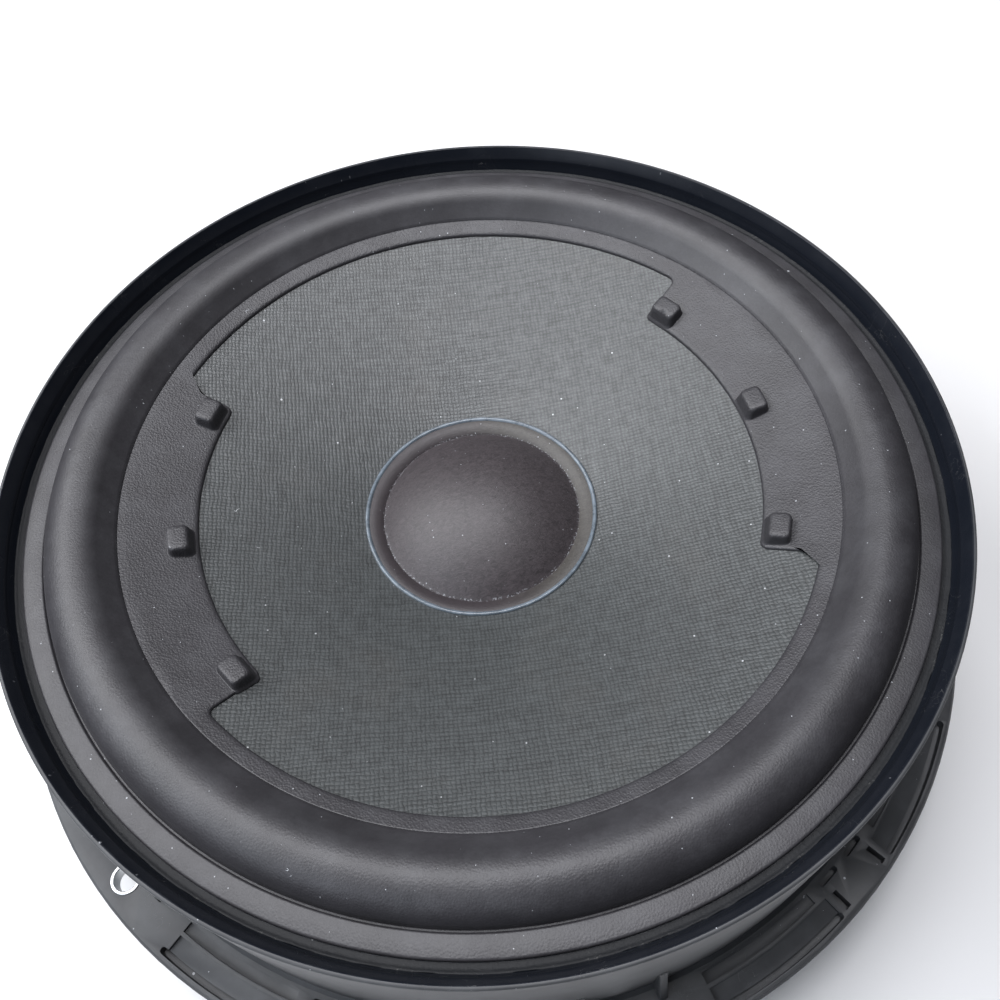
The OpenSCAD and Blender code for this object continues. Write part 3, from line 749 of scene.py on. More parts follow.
def grained_finish(name, base, size, depth, rough):
    """A plain finish with grain of one size, for card, paper and nylon."""
    make = Finish(name)
    grain = make.noise(size, 4, 0.65)
    tone = make.mix(make.ramp(grain, 0.32, 0.7), shade(base, 0.75), shade(base, 1.25))
    slow = make.ramp(make.noise(13, 3), 0.35, 0.7, 0.0, 0.25)
    tone = make.mix(slow, tone, shade(base, 0.6))
    spread = 0.12
    make.set(base_color=tone, roughness=make.scaled(grain, spread, rough - spread / 2),
             normal=make.bump(grain, depth))
    return make.material


def foam_finish(colours):
    """Closed-cell foam with open pores on its cut faces."""
    base = colours.foam
    make = Finish("Foam", specular_ior_level=0.3)
    pore = make.ramp(make.cells(0.7)[0], 0.15, 0.5)
    tone = make.mix(pore, shade(base, 0.4), shade(base, 1.5))
    make.set(base_color=tone, roughness=0.85, normal=make.bump(pore, 0.12))
    return make.material


def spider_finish(colours):
    """Open plain weave, stiffened with amber resin that pools in its valleys."""
    base = colours.spider
    make = Finish("Spider cloth", specular_ior_level=0.45)
    thread = make.weave(make.x, make.y, 0.55 * MM)
    tone = make.mix(make.ramp(thread, 0.2, 0.8), shade(base, 0.3), base)
    resin = make.ramp(make.z, 11.4 * MM, 13.4 * MM, 0.5, 0.0)
    tone = make.mix(resin, tone, (0.22, 0.10, 0.02))
    make.set(base_color=tone, roughness=make.scaled(thread, 0.2, 0.42), normal=make.bump(thread, 0.1))
    return make.material


def turned_metal_finish(name, base, rough=0.32, pitch=0.35, tarnish=0.25, spot=(0.30, 0.27, 0.2)):
    """Plated or bare metal with turning rings, cloudy plating and a few dull spots."""
    make = Finish(name, metallic=1.0)
    rings = make.sine(make.times(make.plus(make.radius, make.z), math.tau / (pitch * MM)))
    cloud = make.noise(7, 5, 0.62)
    tone = make.mix(make.ramp(cloud, 0.3, 0.72), shade(base, 0.72), shade(base, 1.12))
    dull = make.ramp(make.noise(4, 5, 0.7), 0.60, 0.74, 0.0, tarnish)
    tone = make.mix(dull, tone, spot)
    fine = make.noise(0.5, 2)
    make.set(base_color=tone, roughness=make.scaled(cloud, 0.22, rough - 0.1),
             normal=make.bump(make.scaled(fine, 0.6, rings), 0.006))
    return make.material


def ferrite_finish(colours):
    """Ground ferrite: grey-black, fine pits and paler ground streaks."""
    base = colours.ferrite
    make = Finish("Ferrite", specular_ior_level=0.6)
    grind = make.noise(1.4, 4, 0.6, where=make.mapped(make.place, scale=(1, 1, 7)))
    pits = make.ramp(make.noise(0.6, 3, 0.7), 0.62, 0.74)
    tone = make.mix(make.ramp(grind, 0.3, 0.7), shade(base, 0.75), shade(base, 1.5))
    tone = make.mix(pits, tone, (0.02, 0.02, 0.021))
    make.set(base_color=tone, roughness=make.scaled(grind, 0.2, 0.38),
             normal=make.bump(make.minus(make.times(grind, 0.4), pits), 0.05))
    return make.material


def film_finish(colours):
    """Amber polyimide film wound with a faint spiral seam."""
    base = colours.amber
    make = Finish("Former film", specular_ior_level=0.6, coat_weight=0.4, coat_roughness=0.1)
    seam = make.sine(make.times(make.z, math.tau / (2.6 * MM)))
    tone = make.mix(make.ramp(seam, 0.75, 1.0, 0.0, 0.4), base, shade(base, 0.5))
    make.set(base_color=make.mix(make.ramp(make.noise(5, 3), 0.3, 0.7), tone, shade(base, 0.75)),
             roughness=make.scaled(make.noise(2, 3), 0.15, 0.2), normal=make.bump(seam, 0.01))
    return make.material


def finishes(colours, sizes):
    """Every material by the record's slot name."""
    brown, amber = (0.28, 0.12, 0.07), (0.3, 0.2, 0.12)
    return {
        "basket_plastic": plastic_finish(colours),
        "surround_rubber": rubber_finish(colours),
        "cone_cloth": cloth_finish(colours, sizes),
        "cap_felt": felt_finish(colours),
        "bead_glue": glue_finish(colours),
        "landing_glue": groove_finish(colours),
        "foam": foam_finish(colours),
        "spider_cloth": spider_finish(colours),
        "card": grained_finish("Pressed card", colours.card, 0.6, 0.05, 0.8),
        "zinc_steel": turned_metal_finish("Zinc-plated steel", colours.zinc),
        "ferrite": ferrite_finish(colours),
        "black_steel": turned_metal_finish("Black steel", colours.black_steel, 0.42, 0.5, 0.1,
                                           (0.1, 0.09, 0.08)),
        "copper": turned_metal_finish("Copper", colours.copper, 0.3, 0.5, 0.4, brown),
        "contact_brass": turned_metal_finish("Contact brass", colours.brass, 0.28, 0.6),
        "tinsel": turned_metal_finish("Tinsel copper", colours.copper, 0.35, 0.3, 0.3, amber),
        "former_film": film_finish(colours),
        "wrap_paper": grained_finish("Kraft wrap", colours.kraft, 0.8, 0.05, 0.65),
        "connector_plastic": grained_finish("Nylon", colours.nylon, 0.3, 0.01, 0.42),
    }


FINISHES = {}


def finish_of(slot):
    """The material for a slot, made on first use from the scene's colours."""
    if not FINISHES:
        scene = bpy.context.scene
        FINISHES.update(finishes(scene.speaker_colours, scene.speaker_sizes))
    return FINISHES[slot]


# ---------- shapes shared by several pieces ----------

def cone_top(sizes, r):
    """Height of the cone's front surface at radius r, both in millimetres."""
    return sizes.cone_height / MM - (sizes.cone_radius / MM - r) * sizes.cone_slope


def vertex_array(piece):
    """The piece's vertex places in metres as a numpy array."""
    flat = np.zeros(len(piece.data.vertices) * 3)
    piece.data.vertices.foreach_get("co", flat)
    return flat.reshape(-1, 3)


def bent_between(piece):
    """Bakes the piece's placement into its mesh."""
    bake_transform(piece)
    return piece


def corner_curve(before, corner, after, steps=8):
    """Points that turn a corner between two places on its sides."""
    before, corner, after = Vector(before), Vector(corner), Vector(after)
    places = []
    for k in range(steps + 1):
        t = k / steps
        places.append((1 - t) ** 2 * before + 2 * t * (1 - t) * corner + t * t * after)
    return places


def round_the_axis(piece, radius, material):
    """Six copies of a piece made at the origin, on a circle of this radius in millimetres."""
    for vertex in piece.data.vertices:
        vertex.co.x += radius * MM
    grown(piece, copies_tree, count=6, first_angle=HALF_STEP, step_angle=STEP, material=material)


def polar(r, a):
    """Place in plan from a radius and an angle."""
    return (r * math.cos(a), r * math.sin(a))


def rounded_rectangle(half_x, half_y, corner, turns=8, straight=6):
    """Outline of a rectangle with turned corners, with as many points at any size."""
    points = []
    for quarter, (side_x, side_y) in enumerate(((1, 1), (-1, 1), (-1, -1), (1, -1))):
        for k in range(turns + 1):
            x, y = polar(corner, math.pi / 2 * (quarter + k / turns))
            points.append((side_x * (half_x - corner) + x, side_y * (half_y - corner) + y))
    full = []
    for i, (x, y) in enumerate(points):
        full.append((x, y))
        if i % (turns + 1) == turns:
            next_x, next_y = points[(i + 1) % len(points)]
            full += [(x + (next_x - x) * k / straight, y + (next_y - y) * k / straight)
                     for k in range(1, straight)]
    return full


# ---------- basket ----------

class SPEAKER_OT_basket(bpy.types.Operator):
    """Builds the moulded basket: collar, landing, flange, gussets, arms and motor seat"""
    bl_idname = "speaker.basket"
    bl_label = "Basket"

    def execute(self, context):
        sizes = context.scene.speaker_sizes
        lip_z, lip_r = sizes.lip_height / MM, sizes.collar_radius / MM
        land_z = sizes.landing_height / MM
        place_turned("collar_wall", rounded([
            (COLLAR_BORE, 0, 0.3), (110.6, 0, 0.0), (110.6, 5, 0.0), (lip_r, lip_z - 3, 0.0),
            (lip_r, lip_z, 0.6), (lip_r - 0.9, lip_z, 0.35), (lip_r - 2.3, lip_z - 3, 0.8),
            (COLLAR_BORE, 47.95, 0.0)]), FIXED, "basket_plastic", "collar", segments=360)
        place_turned("landing_ledge", rounded([
            (COLLAR_BORE, 38.5, 0.0), (COLLAR_BORE, 47.95, 0.0), (106.7, land_z, 0.25), (99.6, land_z, 0.4),
            (99.6, land_z - 2.4, 0.6), (100.6, land_z - 3, 0.6)]), FIXED, "basket_plastic", "landing")
        place_refined("mounting_flange", 0.22, FIXED, "basket_plastic", "flange")
        place_refined("basket_arms", 0.35, FIXED, "basket_plastic", "arms")
        place_refined("motor_seat_ring", 0.3, FIXED, "basket_plastic", "motor_seat")
        self.build_gussets(finish_of("basket_plastic"))
        return {"FINISHED"}

    def build_gussets(self, plastic):
        """One gusset with softened edges, copied in pairs round the bolts."""
        outline = [(110.0, 4.0), (114.2, 4.0), (114.2, 4.6), (110.75, 19.4), (110.1, 20.0)]
        half = 0.9
        verts = [(x * MM, s * half * MM, z * MM) for s in (-1, 1) for x, z in outline]
        count = len(outline)
        faces = [tuple(range(count)), tuple(range(2 * count - 1, count - 1, -1))]
        faces += [(i, i + count, (i + 1) % count + count, (i + 1) % count) for i in range(count)]
        piece = cleaned(new_object("collar_gussets", verts, faces), plastic)
        rounder = piece.modifiers.new("Edges", "BEVEL")
        rounder.width, rounder.segments = 0.3 * MM, 3
        settled(piece)
        grown(piece, copies_tree, count=2, groups=6, first_angle=math.radians(25.5),
              step_angle=math.radians(9), group_step=STEP, material=plastic)
        finished(cleaned(piece, plastic), FIXED, "gussets")


# ---------- suspension ----------

class SPEAKER_OT_surround(bpy.types.Operator):
    """Builds the rubber surround and the adhesive in its groove"""
    bl_idname = "speaker.surround"
    bl_label = "Surround"

    def execute(self, context):
        sizes = context.scene.speaker_sizes
        rubber = finish_of("surround_rubber")
        thick = sizes.rubber / MM
        low = sizes.landing_height / MM
        top = low + thick
        outer, inner = sizes.roll_outer / MM, sizes.roll_inner / MM
        crest, rise = 92.0, sizes.roll_height / MM
        out_w, in_w = outer - crest, 7.2
        flange = rounded([(98.3, low, 0), (104.8, low, 0.2), (104.8, top, 0.6), (outer + 0.75, top, 0.4),
                          (outer + 0.6, top - 0.9, 0.15), (outer + 0.1, top - 0.9, 0.15), (outer, top, 0)],
                         closed=False)
        profile = flange + arc(crest, top, out_w, rise, 5, 90, 26) + arc(crest, top, in_w, rise, 92, 140, 20)
        profile += [(inner + 0.7, top + 1.65), (inner, top + 1.0), (inner, top - 0.6),
                    (inner + thick, top - 0.6)]
        profile += arc(crest, top, in_w - thick, rise - thick, 140, 92, 10)
        profile += arc(crest, top, out_w - thick, rise - thick, 90, 4, 16)
        surround = turned("rubber_surround", profile, rubber, segments=320, sharp=50)
        radius = np.hypot(*vertex_array(surround).T[:2]) / MM
        bent_between(surround)
        finished(surround, None, "surround")
        place_turned("groove_adhesive", [
            (104.95, low - 0.1), (106.75, low - 0.1), (106.8, low + 0.4), (106.55, low + 0.46),
            (106.3, low + 0.2), (105.7, low + 0.12), (104.95, low + 0.12)],
            FIXED, "landing_glue", "surround_adhesive",
            segments=480, sharp=80, unevenness=0.28 * MM, lump_size=2.4 * MM, seed=3)
        return {"FINISHED"}


class SPEAKER_OT_bumper(bpy.types.Operator):
    """Builds the rubber ring on the cone's edge, its two lobes and their six pads"""
    bl_idname = "speaker.bumper"
    bl_label = "Bumper ring and pads"

    def execute(self, context):
        sizes = context.scene.speaker_sizes
        rubber = finish_of("surround_rubber")
        finished(self.build_ring(sizes, rubber), MOVING, "bumper_ring")
        for name, lobe in zip(("bumper_pads_right", "bumper_pads_left"), LOBES):
            pads = self.build_pads(sizes, rubber, name, lobe)
            finished(pads, MOVING, "bumper_ring")
        return {"FINISHED"}

    def edge_of_cloth(self, sizes):
        """The closed line in plan where the rubber ends on the cloth, in millimetres."""
        out, into = 2.3, 1.9  # sizes of the turned corners on the lobe's and the band's side
        lobe_steps, band_steps = 70, 90

        def band(a):
            return sizes.band_radius / MM - BAND_LEAN * math.sin(a)

        line = []
        for lobe, ahead, turn in ((LOBES[0], LOBES[1], 0), (LOBES[1], LOBES[0], math.tau)):
            first, last = (math.radians(lobe.centre + side * lobe.half) for side in (-1, 1))
            inset = out / lobe.radius
            sweep = last - first - 2 * inset
            line += [polar(lobe.radius, first + inset + sweep * k / lobe_steps) for k in range(lobe_steps)]
            line += corner_curve(polar(lobe.radius, last - inset), polar(lobe.radius, last),
                                 polar(lobe.radius + out, last), 10)
            edge = band(last)
            start = last + into / edge
            line += corner_curve(polar(edge - into, last), polar(edge, last), polar(edge, start), 8)
            back = math.radians(ahead.centre - ahead.half) + turn
            edge = band(back)
            stop = back - into / edge
            gap = stop - start
            bearings = [start + gap * k / band_steps for k in range(1, band_steps)]
            line += [polar(band(a), a) for a in bearings]
            line += corner_curve(polar(edge, stop), polar(edge, back), polar(edge - into, back), 8)
            line += corner_curve(polar(ahead.radius + out, back), polar(ahead.radius, back),
                                 polar(ahead.radius, back + out / ahead.radius), 10)[:-1]
        return np.array([tuple(p) for p in line])

    def build_ring(self, sizes, rubber):
        """A low band from the cloth's edge out to the roll, with a rounded lip and one ragged stretch."""
        line = self.edge_of_cloth(sizes)
        step = np.linalg.norm(np.roll(line, -1, 0) - line, axis=1)
        travelled = np.concatenate([[0], np.cumsum(step)])
        start = np.arctan2(line[0][1], line[0][0])
        angle = start + math.tau * travelled[:-1] / travelled[-1]
        heading = np.roll(line, -1, 0) - np.roll(line, 1, 0)
        heading /= np.linalg.norm(heading, axis=1)[:, None]
        away = np.stack([heading[:, 1], -heading[:, 0]], 1)
        bearing = np.degrees(np.arctan2(line[:, 1], line[:, 0])) % 360
        reach = np.linalg.norm(line, axis=1)
        ragged = (bearing > 210.6) & (bearing < 214) & (reach > 70) & (reach < 77)
        chance = np.random.default_rng(4).normal(0, 1, len(line))
        line += away * (chance * np.where(ragged, 0.22, 0.02))[:, None]
        circle = 83.35 * np.stack([np.cos(angle), np.sin(angle)], 1)
        buried, top, steps = -0.35, 0.88, 12  # heights over the cloth, and rows across the band
        rows = [(line, buried)]
        for distance, height in ((0, 0.15), (0.03, 0.42), (0.1, 0.6), (0.24, 0.74), (0.5, 0.83),
                                 (0.95, top), (1.7, top)):
            rows.append((line + away * distance, height))
        near = rows[-1][0]
        for k in range(1, steps):
            t = k / steps
            rows.append((near * (1 - t) + circle * t, top))
        rows += [(circle, 0.72), (circle, buried)]
        verts, count = [], len(line)
        for plan, height in rows:
            for x, y in plan:
                verts.append((x * MM, y * MM, (cone_top(sizes, math.hypot(x, y)) + height) * MM))
        faces = []
        for j in range(len(rows)):
            for i in range(count):
                a, b = j * count, (j + 1) % len(rows) * count
                faces.append((a + i, a + (i + 1) % count, b + (i + 1) % count, b + i))
        return cleaned(new_object("bumper_ring_rubber", verts, faces), rubber, sharp=60)

    def build_pads(self, sizes, rubber, name, lobe):
        """One tapered pad with rounded edges, copied three to a lobe, with a nick in one edge."""
        levels = [(-0.6, 3.25, 4.1), (0.0, 3.02, 3.92), (0.12, 2.86, 3.78), (0.45, 2.74, 3.68),
                  (1.2, 2.6, 3.56), (2.0, 2.45, 3.43), (2.45, 2.33, 3.32), (2.72, 2.18, 3.17),
                  (2.9, 1.97, 2.96), (2.99, 1.65, 2.64), (3.02, 1.2, 2.1), (3.03, 0.6, 1.1)]
        centre = sizes.pad_radius / MM
        base = cone_top(sizes, centre) + 0.86
        verts = []
        for height, half_r, half_w in levels:
            for x, y in rounded_rectangle(half_r, half_w, min(1.25, half_r * 0.75)):
                tilt = sizes.cone_slope + (0.2 - sizes.cone_slope) * max(0, height) / 3
                verts.append(((centre + x) * MM, y * MM, (base + height + x * tilt) * MM))
        sides = len(verts) // len(levels)
        faces = [tuple(range(sides - 1, -1, -1))]
        for j in range(len(levels) - 1):
            for i in range(sides):
                n = (i + 1) % sides
                faces.append((j * sides + i, j * sides + n, (j + 1) * sides + n, (j + 1) * sides + i))
        faces.append(tuple((len(levels) - 1) * sides + i for i in range(sides)))
        pads = cleaned(new_object(name, verts, faces), rubber, sharp=60)
        grown(pads, copies_tree, count=3, first_angle=math.radians(lobe.first_pad),
              step_angle=math.radians(lobe.pad_step), material=rubber)
        nick = Vector((*polar(NICK[0] * MM, math.radians(NICK[1])), (base + 2.3) * MM))
        for vertex in pads.data.vertices:
            near = 1 - (vertex.co - nick).length / (1.1 * MM)
            if near > 0 and vertex.co.z > nick.z:
                vertex.co.z -= 0.75 * MM * min(1, near * 1.6)
        return cleaned(pads, rubber, sharp=45)


class SPEAKER_OT_cone(bpy.types.Operator):
    """Builds the woven cone with its rolled neck"""
    bl_idname = "speaker.cone"
    bl_label = "Cone"

    def execute(self, context):
        sizes = context.scene.speaker_sizes
        edge, thick, neck, bend = sizes.cone_radius / MM, 0.7, COIL_BORE, 26.5
        foot = cone_top(sizes, 26.2)
        profile = [(neck, foot - 4), (25.9, foot - 4), (26.0, foot - 1.6)]
        for k in range(13):
            r = bend + (edge - bend) * k / 12
            profile.append((r, cone_top(sizes, r) - thick))
        for k in range(17):
            r = edge - (edge - neck) * k / 16
            profile.append((r, cone_top(sizes, r)))
        place_turned("woven_cone", profile, MOVING, "cone_cloth", "cone", segments=240)
        return {"FINISHED"}


class SPEAKER_OT_cap(bpy.types.Operator):
    """Builds the felt dust cap with its brim, and the adhesive bead around it"""
    bl_idname = "speaker.cap"
    bl_label = "Dust cap"

    def execute(self, context):
        sizes = context.scene.speaker_sizes
        foot, rise = sizes.cap_radius / MM, sizes.cap_height / MM
        foot_z = cone_top(sizes, foot) + 0.5
        ball = (foot * foot + rise * rise) / (2 * rise)
        half = math.degrees(math.asin(foot / ball))
        centre = foot_z + rise - ball
        dome = arc(0, centre, ball, ball, 90, 90 - half * 0.985, 26)
        inside = arc(0, centre, ball - 0.6, ball - 0.6, 90 - half * 0.985, 90, 12)
        brim = [(24.6, foot_z - 0.15)]
        brim += [(r, cone_top(sizes, r) + dz) for r, dz in (
            (25.0, 0.5), (26.4, 0.5), (28.1, 0.5), (28.3, 0.35), (28.3, 0.02), (24.9, 0.02))]
        place_turned("felt_dust_cap", dome + brim + inside, MOVING, "cap_felt", "dust_cap",
                     segments=200, sharp=60, unevenness=0.12 * MM, lump_size=7 * MM, seed=5)
        outer = sizes.bead_radius / MM
        place_turned("cap_bead", [(outer + dr, cone_top(sizes, outer + dr) + dz) for dr, dz in (
            (-1.05, -0.2), (-1.0, 0.45), (-0.88, 0.66), (-0.64, 0.76), (-0.38, 0.74), (-0.14, 0.6),
            (0.02, 0.36), (0.08, 0.1), (0.08, -0.25))], MOVING, "bead_glue", "cap_adhesive",
            segments=480, sharp=90, unevenness=0.34 * MM, lump_size=9 * MM, seed=8)
        return {"FINISHED"}


class SPEAKER_OT_spider(bpy.types.Operator):
    """Builds the corrugated spider and the ring that clamps it"""
    bl_idname = "speaker.spider"
    bl_label = "Spider"

    def execute(self, context):
        level, thick, first, last, waves, swing, steps = 13.2, 0.5, 28.5, 48.5, 4, 1.5, 64
        upper, lower = [], []
        for k in range(steps + 1):
            t = k / steps
            r = first + (last - first) * t
            z = level - thick / 2 + swing * math.sin(math.tau * waves * t)
            upper.append((r, z + thick / 2))
            lower.append((r, z - thick / 2))
        profile = [(25.9, level - thick), *lower, (55.6, level - thick), (55.6, level),
                   *upper[::-1], (25.9, level)]
        spider = turned("corrugated_spider", profile, finish_of("spider_cloth"), segments=200, sharp=70)
        radius = np.hypot(*vertex_array(spider).T[:2]) / MM
        bent_between(spider)
        finished(spider, None, "spider")
        place_turned("spider_clamp_ring", rounded([
            (50.4, 13.2, 0.2), (55.8, 13.2, 0.2), (55.8, 14.4, 0.3), (50.4, 14.4, 0.3)]),
            FIXED, "card", "spider_ring", segments=160)
        return {"FINISHED"}


# ---------- motor ----------

class SPEAKER_OT_motor(bpy.types.Operator):
    """Builds the motor: plates, ferrite ring, vented yoke, copper sleeve, vent screen and screws"""
    bl_idname = "speaker.motor"
    bl_label = "Motor"

    def execute(self, context):
        place_refined("front_plate", 0.3, FIXED, "zinc_steel", "top_plate")
        place_turned("ferrite_ring", rounded([
            (28.5, -22, 0.5), (50, -22, 1.2), (50, -4, 1.2), (28.5, -4, 0.5)]), FIXED, "ferrite", "magnet",
            segments=240, unevenness=0.12 * MM, lump_size=5 * MM, seed=4)
        place_turned("vented_yoke", rounded([
            (7, -27, 0.3), (9, -27, 0.2), (9, -28, 0.3), (31.6, -28, 0.3), (32.0, -27.6, 0.2),
            (32.4, -28, 0.3), (46.5, -28, 1.2), (48, -26.5, 0.8), (48, -22, 0.3), (28, -22, 0.4),
            (27.4, -24.4, 0.4), (24.4, -24.4, 0.3), (24, -24, 0.3), (24, 3, 0.5), (22.5, 4.2, 0.5),
            (9, 4.2, 0.8), (7, 2, 0.6)]), FIXED, "zinc_steel", "t_yoke", segments=200)
        place_turned("pole_sleeve", rounded([
            (24, -7, 0.05), (24.3, -7, 0.1), (24.3, 3, 0.1), (24, 3, 0.05)]),
            FIXED, "copper", "shorting_sleeve", segments=160)
        black = finish_of("black_steel")
        screen = new_object("vent_screen_disc", [(0, 0, 0)])
        grown(screen, perforated_disc_tree, radius=8.9 * MM, thickness=0.6 * MM, height=-27.3 * MM,
              hole_radius=0.5 * MM, pitch=1.5 * MM, material=black)
        finished(cleaned(screen, black), FIXED, "vent_screen")
        self.build_screws(black)
        return {"FINISHED"}

    def build_screws(self, black):
        """One socket-head screw with a few threads, copied round the motor seat."""
        profile = [(0, 6.05), (1.55, 6.05), (1.6, 7.25), (1.75, 7.4)]
        profile += arc(3.0, 6.8, 0.6, 0.6, 90, 0, 5) + [(3.6, 5.1), (3.5, 5.0), (1.95, 5.0)]
        z = 4.8
        while z > -3.0:
            profile += [(1.95, z), (1.6, z - 0.3), (1.95, z - 0.6)]
            z -= 0.7
        profile += [(1.3, -3.5), (0, -3.5)]
        screw = turned("hex_screws", profile, black, segments=36)
        for vertex in screw.data.vertices:
            if vertex.co.z > 6.0 * MM and math.hypot(vertex.co.x, vertex.co.y) < 1.8 * MM:
                a = math.atan2(vertex.co.y, vertex.co.x) % STEP - HALF_STEP
                vertex.co.xy *= math.cos(HALF_STEP) / math.cos(a) * 1.07
        round_the_axis(screw, SCREW_CIRCLE, black)
        finished(cleaned(screw, black, sharp=30), FIXED, "motor_screws")


class SPEAKER_OT_seals(bpy.types.Operator):
    """Builds the foam gasket, the rear foam ring and the steel sleeves in the bolt holes"""
    bl_idname = "speaker.seals"
    bl_label = "Gasket, rear ring and sleeves"

    def execute(self, context):
        place_turned("foam_gasket", rounded([
            (108, -2.5, 0.6), (112.4, -2.5, 0.6), (112.4, 0, 0.1), (108, 0, 0.1)]),
            FIXED, "foam", "mounting_gasket", unevenness=0.12 * MM, lump_size=3 * MM, seed=2)
        place_turned("rear_foam_ring", rounded([
            (33, -31, 0.7), (44, -31, 0.7), (44, -28, 0.1), (33, -28, 0.1)]),
            FIXED, "foam", "rear_pad", segments=160, unevenness=0.12 * MM, lump_size=3 * MM, seed=6)
        zinc = finish_of("zinc_steel")
        sleeve = turned("bolt_sleeves", rounded([
            (2.75, 0, 0.2), (3.6, 0, 0.2), (3.6, 4.2, 0.2), (2.75, 4.2, 0.25)]), zinc, segments=40)
        round_the_axis(sleeve, BOLT_CIRCLE, zinc)
        finished(cleaned(sleeve, zinc), FIXED, "compression_sleeves")
        return {"FINISHED"}


# ---------- coil and wiring ----------

class SPEAKER_OT_coil(bpy.types.Operator):
    """Builds the voice coil: film former, wound wire, paper wrap, lead strips and eyelets"""
    bl_idname = "speaker.coil"
    bl_label = "Voice coil"

    def execute(self, context):
        place_turned("film_former", rounded([
            (24.8, -12, 0.05), (COIL_BORE, -12, 0.05), (COIL_BORE, 25.8, 0.05), (24.8, 25.8, 0.05)]),
            MOVING, "former_film", "coil_former", segments=160)
        copper = finish_of("copper")
        winding = new_object("wire_turns", [(0, 0, 0)])
        grown(winding, wound_wire_tree, turns=46.0, radius=25.82 * MM, height=19.4 * MM, bottom=-10.7 * MM,
              wire_radius=0.22 * MM, material=copper)
        finished(cleaned(winding, copper, sharp=75), MOVING, "coil_winding")
        place_turned("paper_wrap", rounded([
            (COIL_BORE, 9.7, 0.0), (25.45, 9.7, 0.08), (25.45, 22.4, 0.08), (COIL_BORE, 22.4, 0.0)]),
            MOVING, "wrap_paper", "neck_collar", segments=160,
            unevenness=0.08 * MM, lump_size=4 * MM, seed=7)
        place_refined("lead_strips", 0.08, MOVING, "copper", "coil_leads")
        place_refined("solder_eyelets", 0.15, MOVING, "zinc_steel", "lead_eyelets")
        return {"FINISHED"}


class SPEAKER_OT_wiring(bpy.types.Operator):
    """Builds the plug housing, its two contacts and the braided leads"""
    bl_idname = "speaker.wiring"
    bl_label = "Plug and leads"

    def execute(self, context):
        place_refined("plug_housing", 0.3, FIXED, "connector_plastic", "connector_housing")
        for side in ("plus", "minus"):
            place_refined(f"{side}_blade_contact", 0.12, FIXED, "contact_brass", f"contact_{side}")
        leads = self.build_leads()
        across = vertex_array(leads)
        across[:, 1] = np.abs(across[:, 1])
        bent_between(leads)
        finished(leads, None, "tinsel_leads")
        return {"FINISHED"}

    def build_leads(self):
        """Two mirrored braided leads in one mesh."""
        tinsel = finish_of("tinsel")
        route = [Vector(p) * MM for p in (LEAD_START, (-63, 4, 30), (-51, 5, 16), LEAD_END)]
        lead = new_object("braided_leads", [(0, 0, 0)])
        grown(lead, braided_lead_tree, start=route[0], start_handle=route[1], end_handle=route[2],
              end=route[3], material=tinsel)
        cleaned(lead, tinsel, sharp=75, recalculate=False)
        work = bmesh.new()
        work.from_mesh(lead.data)
        copy = bmesh.ops.duplicate(work, geom=work.verts[:] + work.edges[:] + work.faces[:])
        for item in copy["geom"]:
            if isinstance(item, bmesh.types.BMVert):
                item.co.y = -item.co.y
        bmesh.ops.reverse_faces(work, faces=[f for f in copy["geom"] if isinstance(f, bmesh.types.BMFace)])
        work.to_mesh(lead.data)
        work.free()
        return lead


# ---------- stage ----------

SOFTBOXES = (
    # name, azimuth and elevation in degrees, watts, tint
    ("Top softbox", 90, 82, 12.0, (0.96, 0.96, 1.0)),
    ("Back softbox", 142, 46, 8.6, (0.96, 0.96, 0.98)),
    ("Main softbox", 180, 43, 6.2, (0.90, 0.94, 1.0)),
    ("Left softbox", 222, 30, 2.6, (0.80, 0.88, 1.0)),
)


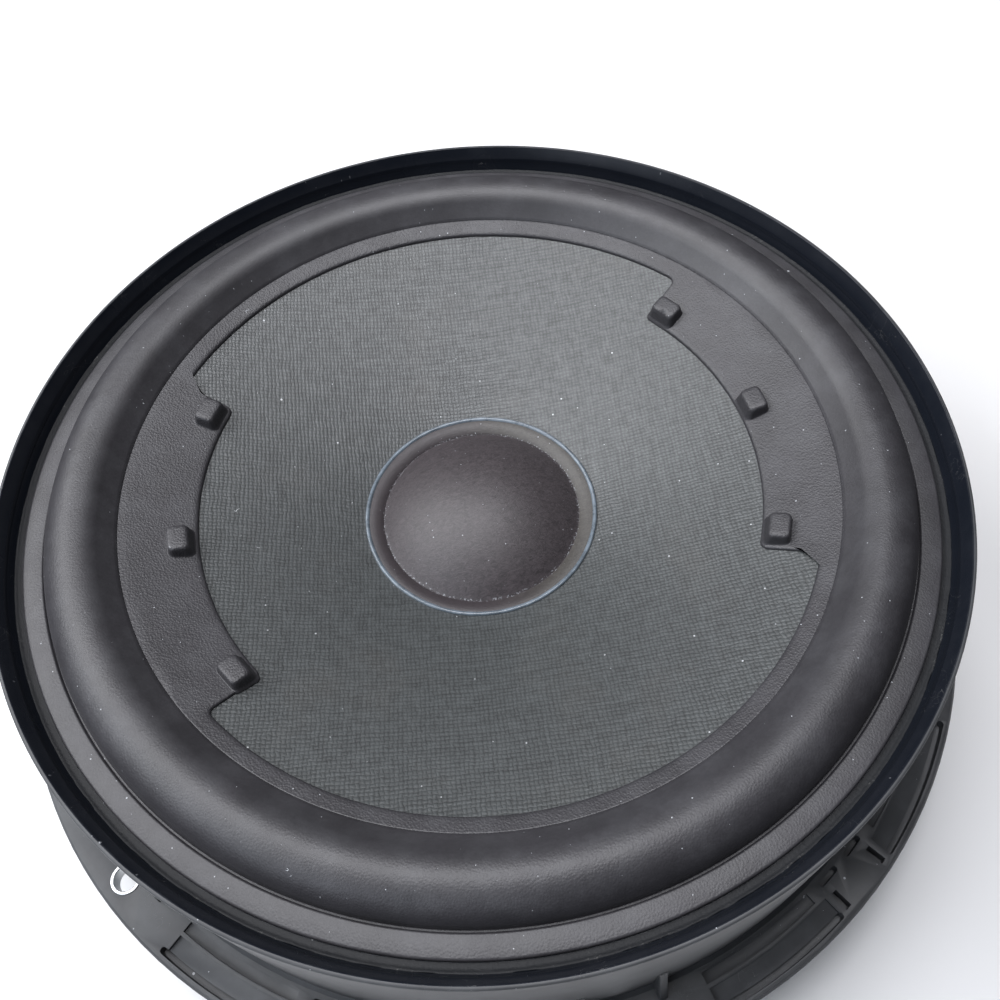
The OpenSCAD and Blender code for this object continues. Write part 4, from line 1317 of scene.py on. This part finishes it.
class SPEAKER_OT_stage(bpy.types.Operator):
    """Sets the pale floor, the soft studio lights and the camera"""
    bl_idname = "speaker.stage"
    bl_label = "Floor, lights and camera"

    def execute(self, context):
        scene = context.scene
        scene.view_settings.view_transform = "Standard"
        self.build_floor()
        self.build_world(scene)
        for light in SOFTBOXES:
            self.add_light(*light)
        self.place_camera(scene)
        return {"FINISHED"}

    def build_floor(self):
        half, z = 6.0, -31.2 * MM
        corners = [(-half, -half, z), (half, -half, z), (half, half, z), (-half, half, z)]
        floor = new_object("pale_floor", corners, [(0, 1, 2, 3)])
        paint = Finish("Pale floor", roughness=0.85, specular_ior_level=0.1)
        cloud = paint.ramp(paint.noise(60, 2), 0.3, 0.7)
        paint.set(base_color=paint.mix(cloud, (0.92, 0.92, 0.92), (0.94, 0.94, 0.94)))
        floor.data.materials.append(paint.material)

    def build_world(self, scene):
        """Soft grey-white surroundings, brighter behind and to the left."""
        world = bpy.data.worlds.new("Soft studio")
        world.use_nodes = True
        scene.world = world
        work = Wiring(world.node_tree)
        sky = world.node_tree.nodes["Background"]
        direction = work.node("ShaderNodeTexCoord").outputs["Generated"]
        lean = work.vector("DOT_PRODUCT", direction, (-0.75, 0.60, 0.28))
        glow = work.node("ShaderNodeMapRange", {0: lean, 1: -0.3, 2: 0.95, 3: 0.015, 4: 0.12},
                         interpolation_type="SMOOTHSTEP")
        work.wire(sky.inputs["Strength"], glow.outputs[0])
        sky.inputs["Color"].default_value = (0.93, 0.96, 1.0, 1.0)

    def add_light(self, name, azimuth, elevation, power, tint):
        """A square softbox at 1.2 metres from the speaker."""
        data = bpy.data.lights.new(name, "AREA")
        data.shape, data.size = "SQUARE", 0.62
        data.energy, data.color = power, tint
        lamp = bpy.data.objects.new(name, data)
        bpy.context.scene.collection.objects.link(lamp)
        across, up = polar(1.2, math.radians(elevation))
        away = Vector((*polar(across, math.radians(azimuth)), up))
        lamp.location = away + Vector((0, 0, 0.03))
        lamp.rotation_euler = (-away).to_track_quat("-Z", "Y").to_euler()

    def place_camera(self, scene):
        """Looks down over the near rim, leaning a little, from 22 cm away."""
        away, rise = 219.49 * MM, math.radians(54.873)
        pan, tilt, roll = (math.radians(a) for a in (-1.213, -2.843, 6.42))
        place = Vector((0, -away * math.cos(rise), away * math.sin(rise)))
        ahead = -place.normalized()
        right = Vector((1, 0, 0))
        up = right.cross(ahead)
        turn = Matrix.Rotation(pan, 3, up)
        ahead, right = turn @ ahead, turn @ right
        turn = Matrix.Rotation(tilt, 3, right)
        ahead, up = turn @ ahead, turn @ up
        turn = Matrix.Rotation(roll, 3, ahead)
        right, up = turn @ right, turn @ up
        basis = Matrix((right, up, -ahead)).transposed()
        swing = Matrix.Rotation(VIEW_TURN, 3, "Z")
        matrix = (swing @ basis).to_4x4()
        lip = Vector((0, 0, scene.speaker_sizes.lip_height))
        matrix.translation = swing @ place + lip
        data = bpy.data.cameras.new("Camera")
        data.sensor_width, data.lens = 36.0, 34.33
        data.clip_start, data.clip_end = 0.01, 50
        camera = bpy.data.objects.new("Camera", data)
        scene.collection.objects.link(camera)
        camera.matrix_world = matrix
        scene.camera = camera


# ---------- add-on ----------

class SPEAKER_PT_panel(bpy.types.Panel):
    """Lists the speaker's sizes, colours and builders"""
    bl_idname = "SPEAKER_PT_panel"
    bl_label = "Subwoofer Speaker"
    bl_space_type = "VIEW_3D"
    bl_region_type = "UI"
    bl_category = "Subwoofer"

    def draw(self, context):
        column = self.layout.column(align=True)
        for group in (context.scene.speaker_sizes, context.scene.speaker_colours):
            for name in group.bl_rna.properties.keys():
                if name not in ("rna_type", "name"):
                    column.prop(group, name)
            column.separator()
        for builder in BUILDERS:
            column.operator(builder.bl_idname)


BUILDERS = (SPEAKER_OT_basket, SPEAKER_OT_surround, SPEAKER_OT_bumper, SPEAKER_OT_cone, SPEAKER_OT_cap,
            SPEAKER_OT_spider, SPEAKER_OT_motor, SPEAKER_OT_seals, SPEAKER_OT_coil, SPEAKER_OT_wiring,
            SPEAKER_OT_stage)
CLASSES = (SpeakerSizes, SpeakerColours, *BUILDERS, SPEAKER_PT_panel)


def register():
    for made in CLASSES:
        bpy.utils.register_class(made)
    bpy.types.Scene.speaker_sizes = PointerProperty(type=SpeakerSizes)
    bpy.types.Scene.speaker_colours = PointerProperty(type=SpeakerColours)


def unregister():
    del bpy.types.Scene.speaker_colours
    del bpy.types.Scene.speaker_sizes
    for made in reversed(CLASSES):
        bpy.utils.unregister_class(made)


def main():
    register()
    for builder in BUILDERS:
        group, name = builder.bl_idname.split(".")
        getattr(getattr(bpy.ops, group), name)()


if __name__ == "__main__":
    main()
